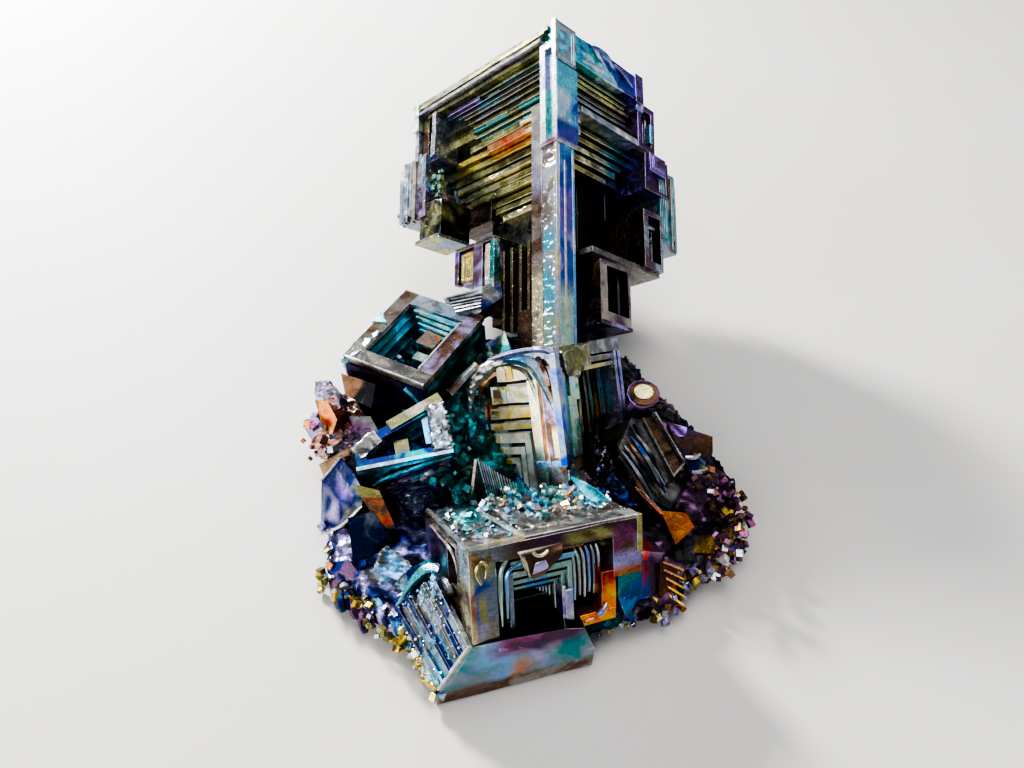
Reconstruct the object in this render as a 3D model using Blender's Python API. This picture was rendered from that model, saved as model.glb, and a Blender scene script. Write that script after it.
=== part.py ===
"""Bismuth hopper crystal: one intergrown cluster with a leaning tower, as one closed solid."""

import math

import bmesh
import bpy
from mathutils import Euler, Matrix, Vector

MM = 0.001

# Centre of the cluster's bounding box in the working frame that the places below use (mm).
CENTRE = (2.5, 114.14)

# Crust that the crystals grew from: rim outline, seen from above (mm).
CRUST_RIM = [
    (-34, 79), (-32, 69), (-26, 64.5), (-19, 60), (-15, 55), (-4, 56), (13, 57), (21, 60), (28, 63),
    (34, 69.5), (39, 76), (42, 83), (42, 89), (39, 96), (36, 104), (31, 112), (26, 122), (13, 129),
    (-2, 130), (-16, 127), (-27, 120), (-33, 110), (-36, 98), (-35, 88),
]
CRUST_MIDDLE = (2, 92)
# Each level of the crust: height, and how far its edge is drawn in towards the middle.
CRUST_LEVELS = [(0.0, 0.14), (2.4, 0.03), (3.8, 0.0), (5.6, 0.04), (7.4, 0.18), (9.0, 0.42)]
CRUST_WAVE = 0.7

# Tower: its highest corner and its attitude; x runs back right, y back left, z up the tower.
TOWER_TIP = (8.5, 157.2, 63.0)
TOWER_TURN = (-46.5, 35.9, 28.9)
# Storeys of the tower head, from the top: depth of top and bottom below the tip,
# then the x span and the y span of the storey. Its hidden back corner steps in.
TOWER_STOREYS = [
    (0.0, 3.4, (1.0, 28.4), (1.6, 19.0)),
    (0.1, 3.6, (1.1, 22.0), (1.8, 31.0)),
    (0.2, 3.4, (1.2, 15.0), (2.0, 43.0)),
    (3.0, 8.0, (3.0, 28.0), (3.4, 17.0)),
    (3.1, 8.2, (3.1, 22.5), (3.6, 30.0)),
    (2.9, 8.0, (3.2, 15.5), (3.8, 42.0)),
    (7.4, 13.0, (5.2, 30.5), (5.6, 17.5)),
    (7.5, 13.2, (5.3, 23.0), (5.8, 29.0)),
    (7.3, 12.8, (5.4, 16.5), (6.0, 41.0)),
    (12.4, 18.0, (7.6, 32.0), (7.8, 18.0)),
    (12.5, 18.2, (7.7, 23.5), (8.0, 28.5)),
    (12.2, 17.8, (7.8, 17.0), (8.2, 42.5)),
    (17.4, 24.0, (9.8, 36.5), (9.9, 18.5)),
    (17.6, 24.2, (9.9, 24.5), (10.1, 29.5)),
    (17.2, 24.4, (10.0, 18.0), (10.3, 45.5)),
    (23.2, 30.4, (12.2, 36.0), (11.8, 20.0)),
    (23.4, 30.2, (12.3, 20.5), (12.0, 42.0)),
    (29.6, 37.0, (13.6, 31.0), (13.4, 20.5)),
    (29.4, 37.2, (13.7, 21.0), (13.6, 34.0)),
    (36.4, 45.0, (11.6, 26.0), (11.8, 27.5)),
    (44.4, 57.0, (5.2, 19.5), (5.4, 25.0)),
    (56.0, 70.0, (2.2, 9.0), (6.4, 13.2)),
]
# Bars of the tower's skeleton: x span, y span, and the depths of top and bottom below the tip.
TOWER_BARS = [
    ((0.0, 6.3), (0.0, 4.1), (0.0, 25.2)),       # cap of the corner post
    ((0.4, 5.7), (0.4, 7.0), (20.0, 70.0)),      # corner post
    ((0.0, 8.5), (37.2, 44.8), (0.9, 15.0)),     # left frame, upper block
    ((0.6, 10.0), (41.0, 50.0), (12.4, 28.8)),   # left frame, middle block
    ((0.3, 9.8), (35.0, 43.2), (24.0, 35.3)),    # left frame, its foot
    ((0.2, 14.5), (17.0, 29.5), (40.0, 48.2)),   # left frame, lower block
    ((0.4, 13.5), (17.2, 23.8), (38.6, 55.7)),
    ((5.4, 28.7), (0.1, 4.0), (0.3, 6.3)),       # right frame, rim
    ((24.2, 33.8), (0.2, 8.0), (5.6, 17.2)),
    ((30.0, 38.4), (0.3, 9.0), (15.2, 26.0)),    # right frame, shoulder
    ((35.0, 41.6), (0.1, 11.5), (19.0, 38.4)),   # right frame, widest block
    ((28.0, 35.4), (0.3, 13.0), (30.6, 44.3)),
    ((12.8, 23.0), (0.2, 14.5), (46.2, 59.2)),   # right frame, lowest block
]
# Stepped pits in the tower's top face: x span, y span, depth of the whole pit, number of steps.
TOWER_PIT = ((4.6, 18.6), (6.2, 27.6), 14.0, 5)
TOWER_ARM_PITS = [((4.8, 12.6), (28.8, 40.2), 8.0, 3), ((19.8, 26.0), (6.4, 15.6), 7.0, 3)]

# Knee crystal under the tower: lower end of its front ridge, attitude as the tower's.
KNEE_FOOT = (9.5, 86.0, 15.0)
KNEE_TURN = (-31.8, 30.3, 49.5)
KNEE_BARS = [
    ((0.0, 6.2), (0.0, 5.2), (0.0, 18.4)),       # front ridge
    ((1.6, 24.0), (1.8, 15.0), (-12.0, 16.6)),   # body
    ((0.4, 5.0), (0.6, 6.2), (-12.0, 3.0)),      # foot of the ridge
    ((0.2, 14.0), (4.0, 18.0), (14.8, 18.2)),    # hood over the left face
    ((4.0, 25.6), (0.2, 12.0), (15.0, 18.6)),    # hood over the right face
    ((22.6, 25.8), (0.2, 9.0), (-3.0, 18.0)),    # right jamb
]
KNEE_PITS = [  # corner, first side, second side, inward direction, sizes, depth, steps
    ((1.6, 6.4, -7.0), "y", "z", "x", (7.4, 21.0), 3.6, 4),
    ((7.4, 1.8, -1.6), "x", "z", "y", (14.4, 15.6), 5.4, 3),
]

# Front block: lower left front corner; x along its front, y into it, z up its face.
FRONT_CORNER = (-5.75, 51.8, 12.0)
FRONT_TURN = (-33.6, 10.7, 20.5)
FRONT_BARS = [
    ((0.0, 24.8), (0.0, 20.6), (-1.0, 14.4)),
    ((23.0, 29.2), (0.2, 20.0), (6.2, 14.5)),
]
FRONT_PITS = [
    ((3.2, 0.0, -0.2), "x", "z", "y", (19.4, 11.6), 11.0, 5),
    ((0.0, 3.0, 3.4), "y", "z", "x", (12.0, 8.6), 2.8, 2),
]

# Hopper with its square mouth upward, on the left.
HOPPER_CORNER = (-31.1, 103.8, 5.0)
HOPPER_TURN = (1.0, -1.5, -28.5)
HOPPER_SIZE = (18.2, 21.4, 17.0)
HOPPER_WALL = 3.1
HOPPER_DEPTH = 9.0

# Long hopper trough in front of it.
TROUGH_CORNER = (-26.1, 79.9, 17.3)
TROUGH_TURN = (14.0, -1.0, 14.0)
TROUGH_SIZE = (16.6, 11.8, 14.0)
TROUGH_WALL = 2.2
TROUGH_DEPTH = 6.5

# Smaller crystals, each the hull of its corners (mm).
SHARDS = {
    "wedge": [(-11.3, 48.3, 1.2), (12.7, 54.6, 1.6), (12.9, 54.9, 4.6), (10.8, 56.2, 9.0),
              (7.9, 55.2, 10.6), (-5.8, 51.8, 12.3), (-11.9, 62.9, 12.0), (-15.1, 61.3, 8.0),
              (-18.3, 61.1, 5.0), (-19.5, 59.9, 1.8), (-10.6, 49.2, 4.0), (6.0, 74.0, 2.0),
              (-12.0, 74.0, 3.0)],
    "silver_facet": [(-31.0, 76.5, 14.8), (-27.0, 76.4, 15.4), (-24.2, 72.8, 12.2), (-26.4, 71.2, 8.4),
                     (-33.4, 71.8, 5.0), (-30.0, 88.0, 14.0), (-22.0, 86.0, 13.0), (-32.0, 80.0, 4.0),
                     (-22.0, 76.0, 4.0)],
    "copper_corner": [(-37.0, 95.5, 9.4), (-33.6, 92.4, 6.8), (-36.4, 102.5, 11.4), (-31.4, 104.5, 15.6),
                      (-27.5, 96.4, 13.0), (-28.5, 91.8, 9.6), (-29.0, 103.0, 4.0), (-34.0, 97.0, 4.0)],
    "teal_shoulder": [(-14.0, 88.0, 6.0), (-13.4, 97.0, 16.0), (-9.0, 106.0, 18.0), (1.0, 100.0, 18.0),
                      (3.0, 90.0, 12.0), (0.0, 80.0, 9.0), (-10.0, 80.0, 9.0), (-4.0, 112.0, 12.0),
                      (6.0, 112.0, 14.0), (10.0, 110.0, 10.0), (4.0, 78.0, 4.0), (-12.0, 104.0, 4.0)],
    "link_plate": [(-13.4, 119.6, 22.2), (-8.2, 113.6, 22.0), (-2.0, 118.4, 23.6), (-2.6, 123.0, 24.0),
                   (-13.0, 119.6, 19.6), (-8.0, 113.8, 19.4), (-1.8, 119.0, 20.6), (-4.0, 123.4, 20.8)],
    "ridged_slab": [(24.0, 104.0, 15.5), (29.0, 104.6, 13.4), (34.2, 85.4, 7.8), (28.6, 78.8, 9.6),
                    (23.6, 82.0, 14.2), (21.0, 96.0, 16.0), (20.0, 84.0, 4.0), (34.4, 88.0, 4.0),
                    (31.0, 104.0, 4.0), (18.0, 104.0, 4.0)],
    "purple_corner": [(29.6, 96.4, 9.8), (38.4, 94.2, 8.6), (38.0, 91.0, 6.0), (30.0, 90.0, 7.0),
                      (30.0, 98.0, 4.0), (37.4, 95.0, 4.2), (34.0, 88.0, 4.0)],
    "back_corner": [(22.4, 107.0, 12.2), (27.6, 107.4, 10.8), (26.6, 104.0, 9.0), (20.0, 104.0, 10.0),
                    (20.0, 112.0, 4.0), (28.0, 110.0, 4.0)],
    "orange_facet": [(26.4, 77.6, 9.6), (31.2, 78.4, 8.8), (30.8, 73.8, 7.4), (26.0, 74.2, 4.2),
                     (33.0, 76.0, 4.2), (24.0, 82.0, 5.0)],
    "smooth_flank": [(17.2, 66.0, 9.6), (21.6, 69.4, 9.0), (27.4, 70.8, 7.2), (27.0, 63.6, 3.0),
                     (18.8, 59.6, 3.0), (17.0, 62.0, 7.6), (20.0, 80.0, 8.0), (12.0, 74.0, 6.0)],
    "saddle": [(-2.0, 68.0, 17.0), (14.0, 72.0, 16.0), (17.0, 80.0, 12.0), (4.0, 82.0, 15.0),
               (-6.0, 76.0, 12.0), (-8.0, 70.0, 6.0), (20.0, 74.0, 5.0), (18.0, 88.0, 6.0),
               (-6.0, 88.0, 6.0)],
}

AXES = {"x": Vector((1, 0, 0)), "y": Vector((0, 1, 0)), "z": Vector((0, 0, 1))}


def placed(point):
    """A place given in the working frame (mm), in the part's own frame (m)."""
    x, y, z = point
    return Vector((x - CENTRE[0], y - CENTRE[1], z)) * MM


def metal(name, colour, roughness):
    """Oxide-tinted bismuth."""
    material = bpy.data.materials.new(name)
    material.use_nodes = True
    shader = material.node_tree.nodes["Principled BSDF"]
    shader.inputs["Base Color"].default_value = (*colour, 1.0)
    shader.inputs["Metallic"].default_value = 1.0
    shader.inputs["Roughness"].default_value = roughness
    return material


def add_object(name, bm, corner=(0, 0, 0), turn=(0, 0, 0), helper=True):
    """Puts a mesh in the scene, placed and turned; a helper is left out of the part."""
    bmesh.ops.recalc_face_normals(bm, faces=bm.faces)
    mesh = bpy.data.meshes.new(name)
    bm.to_mesh(mesh)
    bm.free()
    item = bpy.data.objects.new(name, mesh)
    item.location = placed(corner)
    item.rotation_euler = Euler([math.radians(angle) for angle in turn])
    if helper:
        item.hide_render = True
        item.display_type = "WIRE"
    bpy.context.scene.collection.objects.link(item)
    return item


def add_box(bm, x_span, y_span, z_span):
    """A box between the given spans (mm)."""
    size = [(span[1] - span[0]) * MM for span in (x_span, y_span, z_span)]
    middle = [(span[1] + span[0]) / 2 * MM for span in (x_span, y_span, z_span)]
    bmesh.ops.create_cube(bm, size=1.0, matrix=Matrix.Translation(middle) @ Matrix.Diagonal((*size, 1)))


def stepped_pit(name, corner, along, across, inward, sizes, depth, steps, place, turn):
    """A cutter for a hopper pit: square rings that step inward as they go down."""
    u, v = AXES[along] * MM, AXES[across] * MM
    w = AXES[inward.strip("-")] * (-MM if inward.startswith("-") else MM)
    start = Vector(corner) * MM - w * 2.0
    tread = min(sizes) / 2 / (steps + 1)
    bm = bmesh.new()
    rings = []
    for step in range(steps):
        inset = step * tread
        top = 0.0 if step == 0 else 2.0 + depth * step / steps
        bottom = 2.0 + depth * (step + 1) / steps
        for level in (top, bottom):
            corners = [(inset, inset), (sizes[0] - inset, inset),
                       (sizes[0] - inset, sizes[1] - inset), (inset, sizes[1] - inset)]
            rings.append([bm.verts.new(start + u * a + v * b + w * level) for a, b in corners])
    bm.faces.new(rings[0])
    bm.faces.new(rings[-1])
    for upper, lower in zip(rings, rings[1:]):
        for k in range(4):
            bm.faces.new((upper[k], upper[(k + 1) % 4], lower[(k + 1) % 4], lower[k]))
    return add_object(name, bm, place, turn)


def combine(target, operand, operation):
    """Adds or cuts one helper, exactly."""
    cut = target.modifiers.new(operand.name, "BOOLEAN")
    cut.operation = operation
    cut.solver = "EXACT"
    cut.object = operand


def box_group(name, bars, place, turn):
    """One crystal from overlapping boxes, each added to the first."""
    pieces = []
    for number, (x_span, y_span, z_span) in enumerate(bars):
        bm = bmesh.new()
        add_box(bm, x_span, y_span, z_span)
        pieces.append(add_object(f"{name}_{number}", bm, place, turn))
    for piece in pieces[1:]:
        combine(pieces[0], piece, "UNION")
    return pieces[0]


def tower():
    """Storeys that shrink downward behind a corner post, with a stepped pit from the top."""
    bars = [(x, y, (-bottom, -top)) for top, bottom, x, y in TOWER_STOREYS]
    head = box_group("tower_head", bars, TOWER_TIP, TOWER_TURN)
    for number, (x_span, y_span, depth, steps) in enumerate([TOWER_PIT, *TOWER_ARM_PITS]):
        sizes = (x_span[1] - x_span[0], y_span[1] - y_span[0])
        pit = stepped_pit(f"tower_pit_{number}", (x_span[0], y_span[0], 0.0), "x", "y", "-z", sizes,
                          depth, steps, TOWER_TIP, TOWER_TURN)
        combine(head, pit, "DIFFERENCE")
    frame = box_group("tower_frame", [(x, y, (-bottom, -top)) for x, y, (top, bottom) in TOWER_BARS],
                      TOWER_TIP, TOWER_TURN)
    return [head, frame]


def pitted_crystal(name, bars, pits, place, turn):
    """A crystal of boxes with stepped pits cut into its faces."""
    body = box_group(name, bars, place, turn)
    for number, (corner, along, across, inward, sizes, depth, steps) in enumerate(pits):
        cutter = stepped_pit(f"{name}_pit_{number}", corner, along, across, inward, sizes, depth, steps,
                             place, turn)
        combine(body, cutter, "DIFFERENCE")
    return body


def open_hopper(name, corner, turn, size, wall, depth, top_at_corner=False):
    """A box with a square mouth that steps down into it."""
    width, length, height = size
    low, high = (-height, 0.0) if top_at_corner else (0.0, height)
    mouth = (width - 2 * wall, length - 2 * wall)
    pit = ((wall, wall, high), "x", "y", "-z", mouth, depth, 4)
    return pitted_crystal(name, [((0, width), (0, length), (low, high))], [pit], corner, turn)


def shard(name, corners):
    """A small crystal: the hull of its corners."""
    bm = bmesh.new()
    for point in corners:
        bm.verts.new(placed(point) - placed((0, 0, 0)))
    hull = bmesh.ops.convex_hull(bm, input=bm.verts)
    spare = {item for item in hull["geom_interior"] + hull["geom_unused"]
             if isinstance(item, bmesh.types.BMVert)}
    bmesh.ops.delete(bm, geom=list(spare), context="VERTS")
    return add_object(name, bm)


def crust():
    """The crust: a low lens with a wavy rim and a flat underside."""
    bm = bmesh.new()
    middle = Vector(CRUST_MIDDLE)
    rings = []
    for level, (height, inset) in enumerate(CRUST_LEVELS):
        ring = []
        for number, rim_point in enumerate(CRUST_RIM):
            flat = Vector(rim_point).lerp(middle, inset)
            wave = 0.0 if level == 0 else CRUST_WAVE * math.sin(2.1 * number + 1.3 * level)
            ring.append(bm.verts.new(placed((flat.x, flat.y, height + wave)) - placed((0, 0, 0))))
        rings.append(ring)
    bm.faces.new(rings[0])
    count = len(CRUST_RIM)
    for lower, upper in zip(rings, rings[1:]):
        for k in range(count):
            bm.faces.new((lower[k], lower[(k + 1) % count], upper[(k + 1) % count], upper[k]))
    peak = bm.verts.new(placed((middle.x, middle.y, 10.0)) - placed((0, 0, 0)))
    for k in range(count):
        bm.faces.new((rings[-1][k], rings[-1][(k + 1) % count], peak))
    bmesh.ops.triangulate(bm, faces=bm.faces)
    return add_object("bismuth_crystal", bm, helper=False)


def below_table():
    """The space under the plane that the cluster rests on."""
    bm = bmesh.new()
    add_box(bm, (-90.0, 90.0), (-110.0, 110.0), (-40.0, 0.0))
    return add_object("below_table", bm, (*CENTRE, 0.0))


def build():
    """Grows every crystal onto the crust and joins them in one solid."""
    for item in list(bpy.data.objects):
        bpy.data.objects.remove(item, do_unlink=True)
    cluster = crust()
    cluster.data.materials.append(metal("oxide_bismuth", (0.36, 0.40, 0.48), 0.28))
    grown = tower()
    grown.append(pitted_crystal("knee", KNEE_BARS, KNEE_PITS, KNEE_FOOT, KNEE_TURN))
    grown.append(pitted_crystal("front_block", FRONT_BARS, FRONT_PITS, FRONT_CORNER, FRONT_TURN))
    grown.append(open_hopper("hopper", HOPPER_CORNER, HOPPER_TURN, HOPPER_SIZE, HOPPER_WALL, HOPPER_DEPTH))
    grown.append(open_hopper("trough", TROUGH_CORNER, TROUGH_TURN, TROUGH_SIZE, TROUGH_WALL,
                             TROUGH_DEPTH, top_at_corner=True))
    grown.extend(shard(name, corners) for name, corners in SHARDS.items())
    for crystal in grown:
        combine(cluster, crystal, "UNION")
    combine(cluster, below_table(), "DIFFERENCE")


build()
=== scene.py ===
import math
import random

import bpy
from mathutils import Euler, Matrix, Vector


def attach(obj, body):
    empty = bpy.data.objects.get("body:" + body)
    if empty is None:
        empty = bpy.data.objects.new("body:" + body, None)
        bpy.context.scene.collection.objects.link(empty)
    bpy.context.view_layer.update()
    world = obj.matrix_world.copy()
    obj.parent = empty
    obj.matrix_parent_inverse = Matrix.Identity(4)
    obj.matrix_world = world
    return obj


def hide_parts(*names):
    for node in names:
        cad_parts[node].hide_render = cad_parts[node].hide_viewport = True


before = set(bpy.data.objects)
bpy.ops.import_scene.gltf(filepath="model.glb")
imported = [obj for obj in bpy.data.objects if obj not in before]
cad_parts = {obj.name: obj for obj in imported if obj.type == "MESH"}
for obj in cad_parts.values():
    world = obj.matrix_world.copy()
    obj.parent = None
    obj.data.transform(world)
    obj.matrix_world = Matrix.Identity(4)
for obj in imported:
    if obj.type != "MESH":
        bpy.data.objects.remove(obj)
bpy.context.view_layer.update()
mm = 0.001
# the cluster's own origin, in the millimetres that the crystals are placed with
bench = Vector((2.5, 114.14, 0.0))
node = "bismuth_crystal"
finished = []

# oxide colours, from bare metal to thick film; the last, near-black entry is painted shade for hollows and
# openings
tints = {
    "silver": (0.62, 0.64, 0.66), "steel": (0.26, 0.31, 0.37), "ash": (0.30, 0.27, 0.24),
    "smoke": (0.13, 0.13, 0.13),
    "olive": (0.17, 0.17, 0.09), "khaki": (0.44, 0.42, 0.18), "gold": (0.66, 0.47, 0.10),
    "cream": (0.78, 0.70, 0.46), "pearl": (0.88, 0.94, 0.84),
    "copper": (0.52, 0.23, 0.13), "orange": (0.86, 0.24, 0.03), "red": (0.46, 0.06, 0.05),
    "magenta": (0.32, 0.10, 0.22),
    "plum": (0.11, 0.06, 0.11), "violet": (0.25, 0.17, 0.52), "lavender": (0.42, 0.38, 0.62),
    "navy": (0.02, 0.035, 0.13),
    "royal": (0.05, 0.13, 0.46), "sky": (0.22, 0.48, 0.80), "cyan": (0.20, 0.62, 0.78),
    "frost": (0.70, 0.88, 1.0), "teal": (0.04, 0.26, 0.28),
    "pine": (0.015, 0.075, 0.07), "mint": (0.42, 0.60, 0.52), "umber": (0.15, 0.09, 0.06),
    "soot": (0.012, 0.013, 0.014), "shadowBlack": (0.002, 0.002, 0.002),
}


class Wire:
    # one socket of a node, with sums written as sums
    def __init__(self, board, socket):
        self.board = board
        self.socket = socket

    def work(self, operation, first, second):
        return self.board.add("ShaderNodeMath", {"operation": operation}, {0: first, 1: second})

    def __add__(self, other):
        return self.work("ADD", self, other)

    def __radd__(self, other):
        return self.work("ADD", other, self)

    def __sub__(self, other):
        return self.work("SUBTRACT", self, other)

    def __rsub__(self, other):
        return self.work("SUBTRACT", other, self)

    def __mul__(self, other):
        return self.work("MULTIPLY", self, other)

    def __rmul__(self, other):
        return self.work("MULTIPLY", other, self)


class Board:
    # a material's node tree
    def __init__(self, name):
        self.material = bpy.data.materials.new(name)
        self.material.use_nodes = True
        self.nodes = self.material.node_tree.nodes
        self.links = self.material.node_tree.links
        self.nodes.clear()

    def add(self, kind, settings, inputs, output=0):
        made = self.nodes.new(kind)
        for key, value in settings.items():
            if key == "stops":
                ramp = made.color_ramp
                while len(ramp.elements) < len(value):
                    ramp.elements.new(0.5)
                for element, (place, colour) in zip(ramp.elements, value):
                    element.position = place
                    element.color = (*colour, 1.0)
            else:
                setattr(made, key, value)
        for key, value in inputs.items():
            if isinstance(value, Wire):
                self.links.new(value.socket, made.inputs[key])
            else:
                made.inputs[key].default_value = value
        return Wire(self, made.outputs[output]) if made.outputs else None

    def mix(self, share, first, second, blend="MIX"):
        return self.add("ShaderNodeMix", {"data_type": "RGBA", "blend_type": blend},
                        {0: share, 6: first, 7: second}, 2)

    def ease(self, value, low, high, fromLow=0.0, fromHigh=1.0):
        return self.add("ShaderNodeMapRange", {"interpolation_type": "SMOOTHSTEP"},
                        {0: value, 1: low, 2: high, 3: fromLow, 4: fromHigh})


def oxideFilm(name, look):
    board = Board(name)
    grown = board.add("ShaderNodeAttribute", {"attribute_name": "grown"}, {},
                      "Vector")  # mm along the crystal's own axes
    tint = board.add("ShaderNodeAttribute", {"attribute_name": "tint"}, {}, "Color")
    bloom = board.add("ShaderNodeAttribute", {"attribute_name": "bloom"}, {}, "Color")
    grain = board.add("ShaderNodeAttribute", {"attribute_name": "grain"}, {}, "Fac")
    drift = board.add("ShaderNodeTexNoise", {},
                      {"Vector": grown, "Scale": look["drift"], "Detail": 4.0, "Distortion": 0.9})
    flow = board.add("ShaderNodeTexNoise", {},
                     {"Vector": grown, "Scale": look["drift"] * 2.6, "Detail": 2.0, "Distortion": 1.6}, 0)
    grit = board.add("ShaderNodeTexNoise", {},
                     {"Vector": grown, "Scale": look["grit"], "Detail": 5.0, "Roughness": 0.65})
    cubes = board.add("ShaderNodeTexVoronoi", {"distance": "CHEBYCHEV"},
                      {"Vector": grown, "Scale": look["cubes"], "Randomness": 0.9}, "Distance")
    cubeHue = board.add("ShaderNodeTexVoronoi", {"distance": "CHEBYCHEV"},
                        {"Vector": grown, "Scale": look["cubes"], "Randomness": 0.9}, "Color")
    spark = board.add("ShaderNodeSeparateColor", {}, {0: cubeHue})
    colour = board.mix(board.ease(drift, 0.44, 0.60), tint, bloom)
    colour = board.add("ShaderNodeHueSaturation", {}, {
        "Hue": 0.5 + (flow - 0.5) * look["hueSwing"],
        "Saturation": 0.85 + 0.5 * drift,
        "Value": 0.74 + 0.42 * flow + (spark - 0.5) * grain * 0.7,
        "Color": colour})
    terraces = board.add("ShaderNodeMath", {"operation": "SNAP"}, {0: cubes, 1: 0.16})
    height = terraces * grain * look["relief"] + (grit - 0.5) * (0.10 + 0.35 * grain)
    bump = board.add("ShaderNodeBump", {}, {"Strength": look["bump"], "Distance": 0.0004, "Height": height})
    rough = look["gloss"] + 0.16 * grain + 0.14 * grit + 0.10 * (spark - 0.5) * grain
    shader = board.add("ShaderNodeBsdfPrincipled", {}, {
        "Base Color": colour, "Metallic": look["metal"], "Roughness": rough, "Normal": bump,
        "Specular IOR Level": 0.5})
    board.add("ShaderNodeOutputMaterial", {}, {"Surface": shader})
    return board.material


growth = {
    "bevelAngle": 35, "smoothAngle": 28,  # degrees between faces
    "facing": 0.98,  # how squarely a chosen face looks along its direction
    "wave": 0.006,  # size of the unevenness, in m
    "narrow": 2.2,  # a face thinner than this many bevels is an edge
    "highlightTint": (0.80, 0.80, 0.78, 1.0),  # the pale colour that a painted edge highlight is mixed towards
    "flat": 0.12,  # faces of a chip closer in angle than this are one, in radians
}


def letGo():
    if bpy.context.mode != "OBJECT":
        bpy.ops.object.mode_set(mode="OBJECT")
    bpy.ops.object.select_all(action="DESELECT")


def pick(items):
    letGo()
    for item in items:
        item.select_set(True)
    bpy.context.view_layer.objects.active = items[0]


def colourOf(shade):
    return tints[shade] if isinstance(shade, str) else shade


def dye(item, first, second=None, grain=0.2):
    mesh = item.data
    for label, shade in (("tint", first), ("bloom", second or first)):
        layer = mesh.attributes.get(label) or mesh.attributes.new(label, "FLOAT_COLOR", "CORNER")
        layer.data.foreach_set("color", [*colourOf(shade), 1.0] * len(mesh.loops))
    layer = mesh.attributes.get("grain") or mesh.attributes.new("grain", "FLOAT", "CORNER")
    layer.data.foreach_set("value", [grain] * len(mesh.loops))


def repaint(item, rule):
    # rule(point in mm, face normal, face middle in mm) gives (tint, bloom, grain) or None
    mesh = item.data
    tint, bloom, grain = (mesh.attributes[label].data for label in ("tint", "bloom", "grain"))
    for face in mesh.polygons:
        centre = face.center / mm
        for corner in face.loop_indices:
            answer = rule(mesh.vertices[mesh.loops[corner].vertex_index].co / mm, face.normal, centre)
            if answer:
                tint[corner].color = (*colourOf(answer[0]), 1.0)
                bloom[corner].color = (*colourOf(answer[1]), 1.0)
                grain[corner].value = answer[2]


def bands(item, axis, stops, rest=None):
    # each shade holds above its place along the axis, and rest below them all
    index = "xyz".index(axis)
    repaint(item, lambda point, normal,
            centre: next((shade for low, shade in stops if point[index] > low), rest))


def plate(stock, x, y, z, first, second=None, grain=0.2):
    spans = (x, y, z)
    bpy.ops.mesh.primitive_cube_add(size=1.0, location=[(low + high) / 2 * mm for low, high in spans],
                                    scale=[(high - low) * mm for low, high in spans])
    item = bpy.context.object
    bpy.ops.object.transform_apply(location=True, rotation=True, scale=True)
    dye(item, first, second, grain)
    stock.append(item)
    return item


def beam(stock, start, end, width, height, up, first, second=None, grain=0.2, taper=1.0):
    # a bar from start to end; its height runs along up
    start, end = Vector(start), Vector(end)
    along = (end - start).normalized()
    across = Vector(up).cross(along).normalized()
    rise = along.cross(across)
    bpy.ops.mesh.primitive_cube_add(size=1.0)
    item = bpy.context.object
    item.matrix_world = (Matrix.Translation((start + end) / 2 * mm)
                         @ Matrix((along, across, rise)).transposed().to_4x4()
                         @ Matrix.Diagonal(((end - start).length * mm, width * mm, height * mm, 1)))
    for vertex in item.data.vertices:
        if vertex.co.x > 0:
            vertex.co.y *= taper
    bpy.ops.object.transform_apply(location=True, rotation=True, scale=True)
    dye(item, first, second, grain)
    stock.append(item)
    return item


def rail(stock, points, radii, first, second=None, grain=0.1):
    # a rounded rail through some points
    curve = bpy.data.curves.new("rail", "CURVE")
    curve.dimensions = "3D"
    curve.bevel_depth = mm
    curve.bevel_resolution = 1
    curve.resolution_u = 4
    curve.use_fill_caps = True
    path = curve.splines.new("NURBS")
    path.points.add(len(points) - 1)
    for spot, point, radius in zip(path.points, points, radii):
        spot.co = (*(Vector(point) * mm), 1)
        spot.radius = radius
    path.use_endpoint_u = True
    path.order_u = 3
    item = bpy.data.objects.new("rail", curve)
    bpy.context.scene.collection.objects.link(item)
    pick([item])
    bpy.ops.object.convert(target="MESH")
    item = bpy.context.object
    dye(item, first, second, grain)
    stock.append(item)
    return item


def facets(stock, points, first, second=None, grain=0.2):
    # a crystal chip: the hull of its corners
    mesh = bpy.data.meshes.new("chip")
    mesh.from_pydata([Vector(point) * mm for point in points], [], [])
    item = bpy.data.objects.new("chip", mesh)
    bpy.context.scene.collection.objects.link(item)
    pick([item])
    bpy.ops.object.mode_set(mode="EDIT")
    bpy.ops.mesh.select_all(action="SELECT")
    bpy.ops.mesh.convex_hull()
    bpy.ops.mesh.select_all(action="SELECT")
    bpy.ops.mesh.dissolve_limited(angle_limit=growth["flat"])
    bpy.ops.mesh.normals_make_consistent(inside=False)
    bpy.ops.object.mode_set(mode="OBJECT")
    dye(item, first, second, grain)
    stock.append(item)
    return item


def scatter(stock, dice, count, spot, sizes, palette, tall=1.0):
    # small cubes grown at all angles; spot(k) gives each one its place
    for k in range(count):
        bpy.ops.mesh.primitive_cube_add(size=dice.uniform(*sizes) * mm, location=Vector(spot(k)) * mm,
                                        rotation=[dice.uniform(-0.9, 0.9) for axis in "xyz"])
        item = bpy.context.object
        item.scale = (1, dice.uniform(0.7, 1.2), dice.uniform(0.7, 1.3) * tall)
        bpy.ops.object.transform_apply(location=True, rotation=True, scale=True)
        dye(item, *dice.choice(palette))
        stock.append(item)


def roughen(item, cell, swells, first, second=None, grain=0.9):
    # turns a plain block into a crust of small blocky crystals
    pick([item])
    remesh = item.modifiers.new("cells", "REMESH")
    remesh.mode = "VOXEL"
    remesh.voxel_size = cell * mm
    bpy.ops.object.modifier_apply(modifier="cells")
    for size, strength in swells:
        label = "lumps" + str(size)
        lumps = bpy.data.textures.get(label) or bpy.data.textures.new(label, "VORONOI")
        lumps.noise_scale = size * mm
        lumps.distance_metric = "CHEBYCHEV"
        swell = item.modifiers.new("swell", "DISPLACE")
        swell.texture = lumps
        swell.strength = -strength * mm
        swell.mid_level = 0.3
        bpy.ops.object.modifier_apply(modifier="swell")
    dye(item, first, second, grain)


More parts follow.
